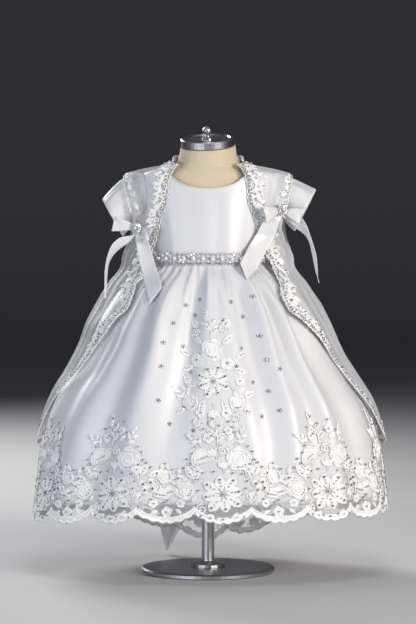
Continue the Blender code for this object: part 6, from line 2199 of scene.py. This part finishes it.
def tail_grid(edges, steps, curl, ripple, taper):
    """A ribbon tail through rows of its left and right edges, curled, rippled and narrower at its end."""
    _, smooth = smooth_rows(edges, steps)
    down = np.linspace(0, 1, steps)[:, None]
    middle = (smooth[:, :3] + smooth[:, 3:]) / 2
    narrow = taper * smooth_step((down - TAPER_START) / (1 - TAPER_START))
    smooth = smooth + (np.tile(middle, 2) - smooth) * narrow
    share = np.linspace(0, 1, RIBBON_STEPS)[None, :, None]
    grid = smooth[:, None, :3] * (1 - share) + smooth[:, None, 3:] * share
    width = np.linalg.norm(smooth[:, 3:] - smooth[:, :3], axis=-1)[:, None]
    across = 2 * share[..., 0] - 1
    rise = curl * (across**2 - 0.4) * width / CURL_WIDTH
    rise = rise + ripple * np.sin(down * RIPPLE_DOWN + across * RIPPLE_ACROSS) * smooth_step(down * 5)
    pleat = TAIL_PLEAT * np.cos(PLEATS * pi * across) * (1 - smooth_step(down / PLEAT_SHARE))
    return grid + surface_normal(grid) * (rise + pleat)[..., None]


def bow_frame(bow):
    """Where a shoulder knot sits: just off the cape, with +X to the right, +Y up and +Z outwards."""
    def at(share):
        return Vector(cape_front_points(bow.side, np.array([bow.row]), np.array([[share]]))[0, 0])

    across = (at(bow.share + BOW_REACH) - at(bow.share - BOW_REACH)) * bow.side
    right = Vector((across.x, across.y, 0)).normalized()
    up = Vector((0, 0, 1))
    out = right.cross(up)
    place = Matrix((right, up, out)).transposed().to_4x4()
    place.translation = at(bow.share) + out * bow.lift
    return place


def ribbon_piece(name, grid, finish, slot):
    """A ribbon as a thin shell, standing for the CAD node of its name."""
    faces = grid_faces(*grid.shape[:2])
    piece = add_piece(f"{name}_ribbon", grid.reshape(-1, 3), faces, finish, flat_of(grid))
    thicken(piece, "ribbon_thickness", RIBBON_THICKNESS, 0)
    return stands_for(piece, slot, name)


def brooch_pieces(name, place):
    """A round brooch: a silver plate, a pearl and two rings of stones round it."""
    base = KNOT[2] + SEAM_GAP

    def seat(radius, turn, height):
        return place @ Vector((radius * cos(turn), radius * sin(turn), base + height))

    up = np.array(place.to_3x3() @ Vector((0, 0, 1)))
    plate = MeshHeap()
    profile = ((0.0074, 0.0), (0.0080, 0.0008), (0.0060, 0.0014), (0.0026, 0.0018))
    rings = [[seat(radius, k * pi / 12, height) for k in range(24)] for radius, height in profile]
    faces = [tuple(face) for face in grid_faces(4, 24, closed=True).tolist()]
    faces += [tuple(range(72, 96)), tuple(range(23, -1, -1))]
    plate.add(np.array(rings), faces)
    pearls, stones, beads = MeshHeap(), MeshHeap(), MeshHeap()
    pearls.scatter(PEARL, [seat(0, 0, 0.0012)], [up], 0.0023)
    for radius, height, count, size in ((0.0040, 0.0016, 8, 0.00145), (0.0066, 0.0009, 12, 0.00160)):
        spots = [seat(radius, (k + 0.5) * 2 * pi / count, height) for k in range(count)]
        stones.scatter(STONE, spots, tilted(np.broadcast_to(up, (count, 3))), size, np.arange(count) * 0.9)
    spots = [seat(0.0053, k * 2 * pi / 20, 0.0013) for k in range(20)]
    beads.scatter(SEED, spots, np.broadcast_to(up, (20, 3)), 0.0005)
    return [
        stands_for(plate.piece(f"{name}_plate", SILVER_BRAID), "beading", name),
        stands_for(pearls.piece(f"{name}_pearl", PEARL_FINISH), "beading"),
        stands_for(stones.piece(f"{name}_stones", CRYSTAL, smooth=False), "beading"),
        stands_for(beads.piece(f"{name}_beads", SILVER), "beading"),
    ]


# How much further forward a loop stands, clear of the tail behind it, and a tail, clear of the
# skirt's gathers.
LOOP_EASE = {"right_inner": 0.0012}
TAIL_EASE = {"right_tail_front": 0.0010}
# How much narrower a tail is at its end, how far its edges curl and how far it ripples.
TAPERS = {"tail_front": 0.0, "tail_outer": 0.72}
TAIL_CURL = 0.0008
TAIL_RIPPLE = 0.0008
TAIL_STEPS = 70
BOW_CROWN = 0.0016
SASH_CROWN = 0.0026


def bow_loop(bow, place, loop):
    """One loop of a shoulder bow."""
    name = f"bow_{bow.name}_loop_{loop.name}"
    forward = np.array(place.col[2][:3]) * LOOP_EASE.get(f"{bow.name}_{loop.name}", 0.0)
    return name, ribbon_piece(name, loop_grid(place, KNOT, loop, BOW_CROWN) + forward, RIBBON_SATIN, "ribbon")


def bow_tail(bow, place, start):
    """One tail of a shoulder bow, from under its knot down through its rows."""
    rows = []
    for below in (KNOT[1] / 2 + 2 * SEAM_GAP, KNOT[1] / 2 + TAIL_DROP):
        ends = [place @ Vector((across, -below, KNOT[2] * TAIL_DEPTH_SHARE)) for across in start[2:]]
        rows.append([*ends[0], *ends[1]])
    which = f"{bow.name}_{start.name}"
    edges = np.array(rows + [list(row) for row in BOW_TAILS[which]])
    edges[2:, [1, 4]] -= TAIL_EASE.get(which, 0.0)
    grid = tail_grid(edges, TAIL_STEPS, TAIL_CURL, TAIL_RIPPLE, TAPERS[start.name])
    return f"bow_{which}", ribbon_piece(f"bow_{which}", grid, RIBBON_SATIN, "ribbon")


ribbons, brooches, knots = {}, {}, {}
for bow in BOWS:
    place = bow_frame(bow)
    knots[bow.name] = knot_piece(f"bow_{bow.name}_knot", place, KNOT, RIBBON_SATIN, 4, "ribbon")
    brooches[bow.name] = brooch_pieces(f"brooch_{bow.name}", place)
    ribbons.update(bow_loop(bow, place, loop) for loop in BOW_LOOPS if loop.bow == bow.name)
    ribbons.update(bow_tail(bow, place, start) for start in TAIL_STARTS if start.bow == bow.name)


def sash_band():
    """The satin sash round the back of the waist, with soft lengthwise folds."""
    end = TRIM_END_ANGLE + BAND_GAP_ANGLE
    angles = np.linspace(end, 360 - end, 161)
    widest = level_point(GOWN, angles, SASH_LOW, BAND_EASE + SEAM_GAP)
    share = np.linspace(0, 1, 25)[:, None, None]
    out = unit(widest * (1, 1, 0))
    fold = SASH_FOLD + SASH_FOLD * np.cos(share * 6 * pi + 0.6 * np.sin(angles / 23)[None, :, None])
    grid = widest + out * (fold + RIBBON / 2) + (SASH_HIGH - SASH_LOW) * (1 - share) * (0, 0, 1)
    return node_sheet("sash_band", "satin", grid, SATIN_CLOTH, "satin", CLOTH_THICKNESS)


sash = sash_band()
seat = Vector(level_point(GOWN, 180.0, SASH_LOW))
seat.y += BAND_EASE + 2 * SEAM_GAP + RIBBON
seat.z = SASH_KNOT_HEIGHT
sash_place = Matrix(((-1, 0, 0), (0, 0, 1), (0, 1, 0))).to_4x4()
sash_place.translation = seat
knots["sash"] = knot_piece("sash_knot", sash_place, SASH_KNOT, SATIN_CLOTH, 6, "satin")
for loop in SASH_LOOPS:
    # The sash's frame faces backwards, so its loops reach the other way.
    grid = loop_grid(sash_place, SASH_KNOT, loop._replace(reach=-loop.reach), SASH_CROWN)
    name = f"sash_loop_{loop.name}"
    ribbons[name] = ribbon_piece(name, grid, SATIN_CLOTH, "satin")


def sash_tail(name, rows):
    """A wide tail of the sash on the back of the skirt, cut on the slant at its end."""
    places, smooth = smooth_rows(np.array(rows), 110)
    left_x, left_z, right_x, right_z, clear = smooth.T[..., None]
    share = np.linspace(0, 1, 15)
    x = left_x + (right_x - left_x) * share
    z = left_z + (right_z - left_z) * share
    wave = SASH_RIPPLE * np.sin(2 * pi * share * 1.5 + places[:, None] * 0.8)
    grid = skirt_point(back_angle(x, z), z, clear + SASH_EASE + wave)
    return node_sheet(f"sash_tail_{name}", "satin", grid, SATIN_CLOTH, "satin", CLOTH_THICKNESS)


sash_tails = {name: sash_tail(name, rows) for name, rows in SASH_TAILS.items()}

# ---------------------------------------------------------------- dress form and buttons

for name, finish in (
    ("form_torso", LINEN),
    ("form_neck_cap", STEEL),
    ("form_finial", STEEL),
    ("form_post", DARK_STEEL),
    ("form_base", DARK_STEEL),
    ("back_button_1", SATIN_CLOTH),
    ("back_button_2", SATIN_CLOTH),
    ("back_button_3", SATIN_CLOTH),
):
    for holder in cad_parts[name].material_slots:
        holder.material = finish

# ---------------------------------------------------------------- studio


# The radii over which the painted pool of light on the paper fades out, the paper's two pale tones, and its
# painted dim colour far away, which stands in for falloff of light.
PAINTED_POOL_RADII = (0.3, 3.4)
PAPER = (0.60, 0.60, 0.61, 1)
PAPER_SHADE = (0.55, 0.55, 0.565, 1)
PAINTED_DIM_PAPER = (0.13, 0.13, 0.14, 1)
FLOOR_RADIUS = 5.4
BEND_RADIUS = 1.3


def painted_pool_paper_finish():
    """Pale paper with a painted pool of light: its colour darkens away from the middle of the floor as
    painted falloff of light.
    """
    made = Finish("studio_paper", (0.62, 0.62, 0.63), 0.9)
    distance = add_node(made.tree, "ShaderNodeVectorMath", {"operation": "LENGTH"}, {0: made.place()})
    # The painted pool of light: the colour goes from the pale tones to a dark one with distance from the
    # middle.
    fade = {0: distance.outputs["Value"], 1: PAINTED_POOL_RADII[0], 2: PAINTED_POOL_RADII[1]}
    share = add_node(made.tree, "ShaderNodeMapRange", {"interpolation_type": "SMOOTHSTEP"}, fade).outputs[0]
    near = made.effect(TONE, Vector=made.place(), Color=PAPER, Shade=PAPER_SHADE, Scale=1.2, Amount=0.5)
    feed(made.tree, made.shader.inputs["Base Color"], mixed_color(made.tree, share, near["Color"], PAINTED_DIM_PAPER))
    return made.material


def studio_sweep():
    """A pale floor that curves up all round into a plain backdrop, darker away from the gown: painted falloff
    of light.
    """
    profile = [(radius, 0.0) for radius in (0.0, 0.4, 0.9, 1.6, 2.6, 4.0, FLOOR_RADIUS)]
    for turn in range(10, 91, 10):
        out, up = sin(radians(turn)), 1 - cos(radians(turn))
        profile.append((FLOOR_RADIUS + BEND_RADIUS * out, BEND_RADIUS * up))
    profile += [(FLOOR_RADIUS + BEND_RADIUS, height) for height in (3.0, 6.0)]
    steps = 72
    turns = [2 * pi * k / steps for k in range(steps)]
    points = [(0.0, 0.0, 0.0)]
    for radius, height in profile[1:]:
        points += [(radius * cos(turn), radius * sin(turn), height) for turn in turns]
    faces = [(0, 1 + k, 1 + (k + 1) % steps) for k in range(steps)]
    for row in range(len(profile) - 2):
        low = 1 + row * steps
        for k in range(steps):
            beside = (k + 1) % steps
            faces.append((low + k, low + steps + k, low + steps + beside, low + beside))
    mesh = bpy.data.meshes.new("studio_sweep")
    mesh.from_pydata(points, [], faces)
    mesh.shade_smooth()
    mesh.materials.append(painted_pool_paper_finish())
    sweep = bpy.data.objects.new("studio_sweep", mesh)
    bpy.context.scene.collection.objects.link(sweep)


def softbox(name, place, aim, size, power, color):
    light = bpy.data.lights.new(name, "AREA")
    light.shape, light.size, light.size_y = "RECTANGLE", *size
    light.energy, light.color = power, color
    lamp = bpy.data.objects.new(name, light)
    lamp.location = place
    lamp.rotation_euler = (Vector(aim) - Vector(place)).to_track_quat("-Z", "Y").to_euler()
    bpy.context.scene.collection.objects.link(lamp)


studio_sweep()
softbox("key_light", (2.05, -2.1, 1.05), (0.0, 0.0, 0.26), (1.0, 1.0), 79, (1.0, 0.95, 0.885))
softbox("fill_light", (-2.3, -1.9, 0.6), (0.0, 0.0, 0.24), (1.0, 1.0), 22, (0.82, 0.90, 1.0))
softbox("back_light", (-1.2, 2.2, 1.3), (0.0, 0.0, 0.32), (1.4, 1.0), 58, (1.0, 0.99, 0.97))
softbox("low_light", (-1.3, -2.4, 0.24), (-0.08, 0.0, 0.08), (0.8, 0.3), 12, (0.96, 0.96, 0.98))
softbox("top_light", (0.1, -1.2, 2.4), (0.0, 0.0, 0.30), (0.6, 0.6), 10, (0.97, 0.98, 1.0))
world = bpy.data.worlds.new("studio_air")
world.use_nodes = True
world.node_tree.nodes["Background"].inputs["Color"].default_value = (0.40, 0.43, 0.50, 1)
world.node_tree.nodes["Background"].inputs["Strength"].default_value = 0.42
bpy.context.scene.world = world
bpy.context.scene.view_settings.view_transform = "Standard"

# The camera looks down a little at the middle of the gown and takes in 443 mm above it and below.
CAMERA_PLACE = (0.0, -4.5, 0.607)
CAMERA_AIM = (0.0, 0.0, 0.371)
HALF_VIEW = 0.443
VIEW_DISTANCE = 4.506
camera_lens = bpy.data.cameras.new("camera")
camera_lens.sensor_fit = "VERTICAL"
camera_lens.angle = 2 * atan(HALF_VIEW / VIEW_DISTANCE)
camera = bpy.data.objects.new("camera", camera_lens)
camera.location = CAMERA_PLACE
camera.rotation_euler = (Vector(CAMERA_AIM) - camera.location).to_track_quat("-Z", "Y").to_euler()
bpy.context.scene.collection.objects.link(camera)
bpy.context.scene.camera = camera

# ---------------------------------------------------------------- how each sheet was cut

# Width is a bodice panel's width as cut, and area that of a cut that isn't a plain rectangle.
BACK_PANELS = ["bodice_back_left", "bodice_back_right"]
buttons = [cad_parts[f"back_button_{k}"] for k in (1, 2, 3)]
for side, width, area, going in (
    ("front", 0.240, 0.0330, []),
    ("right", 0.125, 0.0170, []),
    ("left", 0.125, 0.0170, buttons),
):
    panel, fold = bodices[side]
    going = [fold, *going]
for sleeve, *going in sleeves:
    under = ["bodice_front"]
under, going = ["bodice_front"], [*spray_work, skirt_stones]
for side, (lace, work) in hem_laces.items():
    under = [f"skirt_{side}"]
under = ["bodice_front", "skirt_front"]
for name, front in cape_fronts.items():
    under = ["bodice_front", f"sleeve_{name}"]
    under = [f"cape_front_{name}"]
    lace, work = edge_laces[name]
    lace, work = arm_laces[name]
under = [*BACK_PANELS, "skirt_back"]
lace, work = hem_border
lace, work = collar
# Each ribbon: its width and length as cut, the area of a tapered cut, and how it hangs.
RIBBON_CUTS = {
    "bow_left_loop_outer": (0.022, 0.046, None, "folded"),
    "bow_left_loop_inner": (0.019, 0.034, None, "folded"),
    "bow_left_tail_front": (0.023, 0.103, None, "hung"),
    "bow_left_tail_outer": (0.016, 0.102, 0.00125, "hung"),
    "bow_right_loop_inner": (0.023, 0.041, None, "folded"),
    "bow_right_loop_outer": (0.025, 0.038, None, "folded"),
    "bow_right_tail_front": (0.024, 0.104, None, "hung"),
    "bow_right_tail_outer": (0.016, 0.106, 0.00130, "hung"),
    "sash_loop_left": (0.034, 0.088, None, "folded"),
    "sash_loop_right": (0.034, 0.092, None, "folded"),
}
for name, (width, length, area, held) in RIBBON_CUTS.items():
    if name.startswith("sash"):
        under = "sash_band"
        going = [knots["sash"]] if name == "sash_loop_left" else []
    else:
        side = name.split("_")[1]
        under = f"cape_front_{side}"
        going = [knots[side], *brooches[side]] if name.endswith("loop_outer") else []
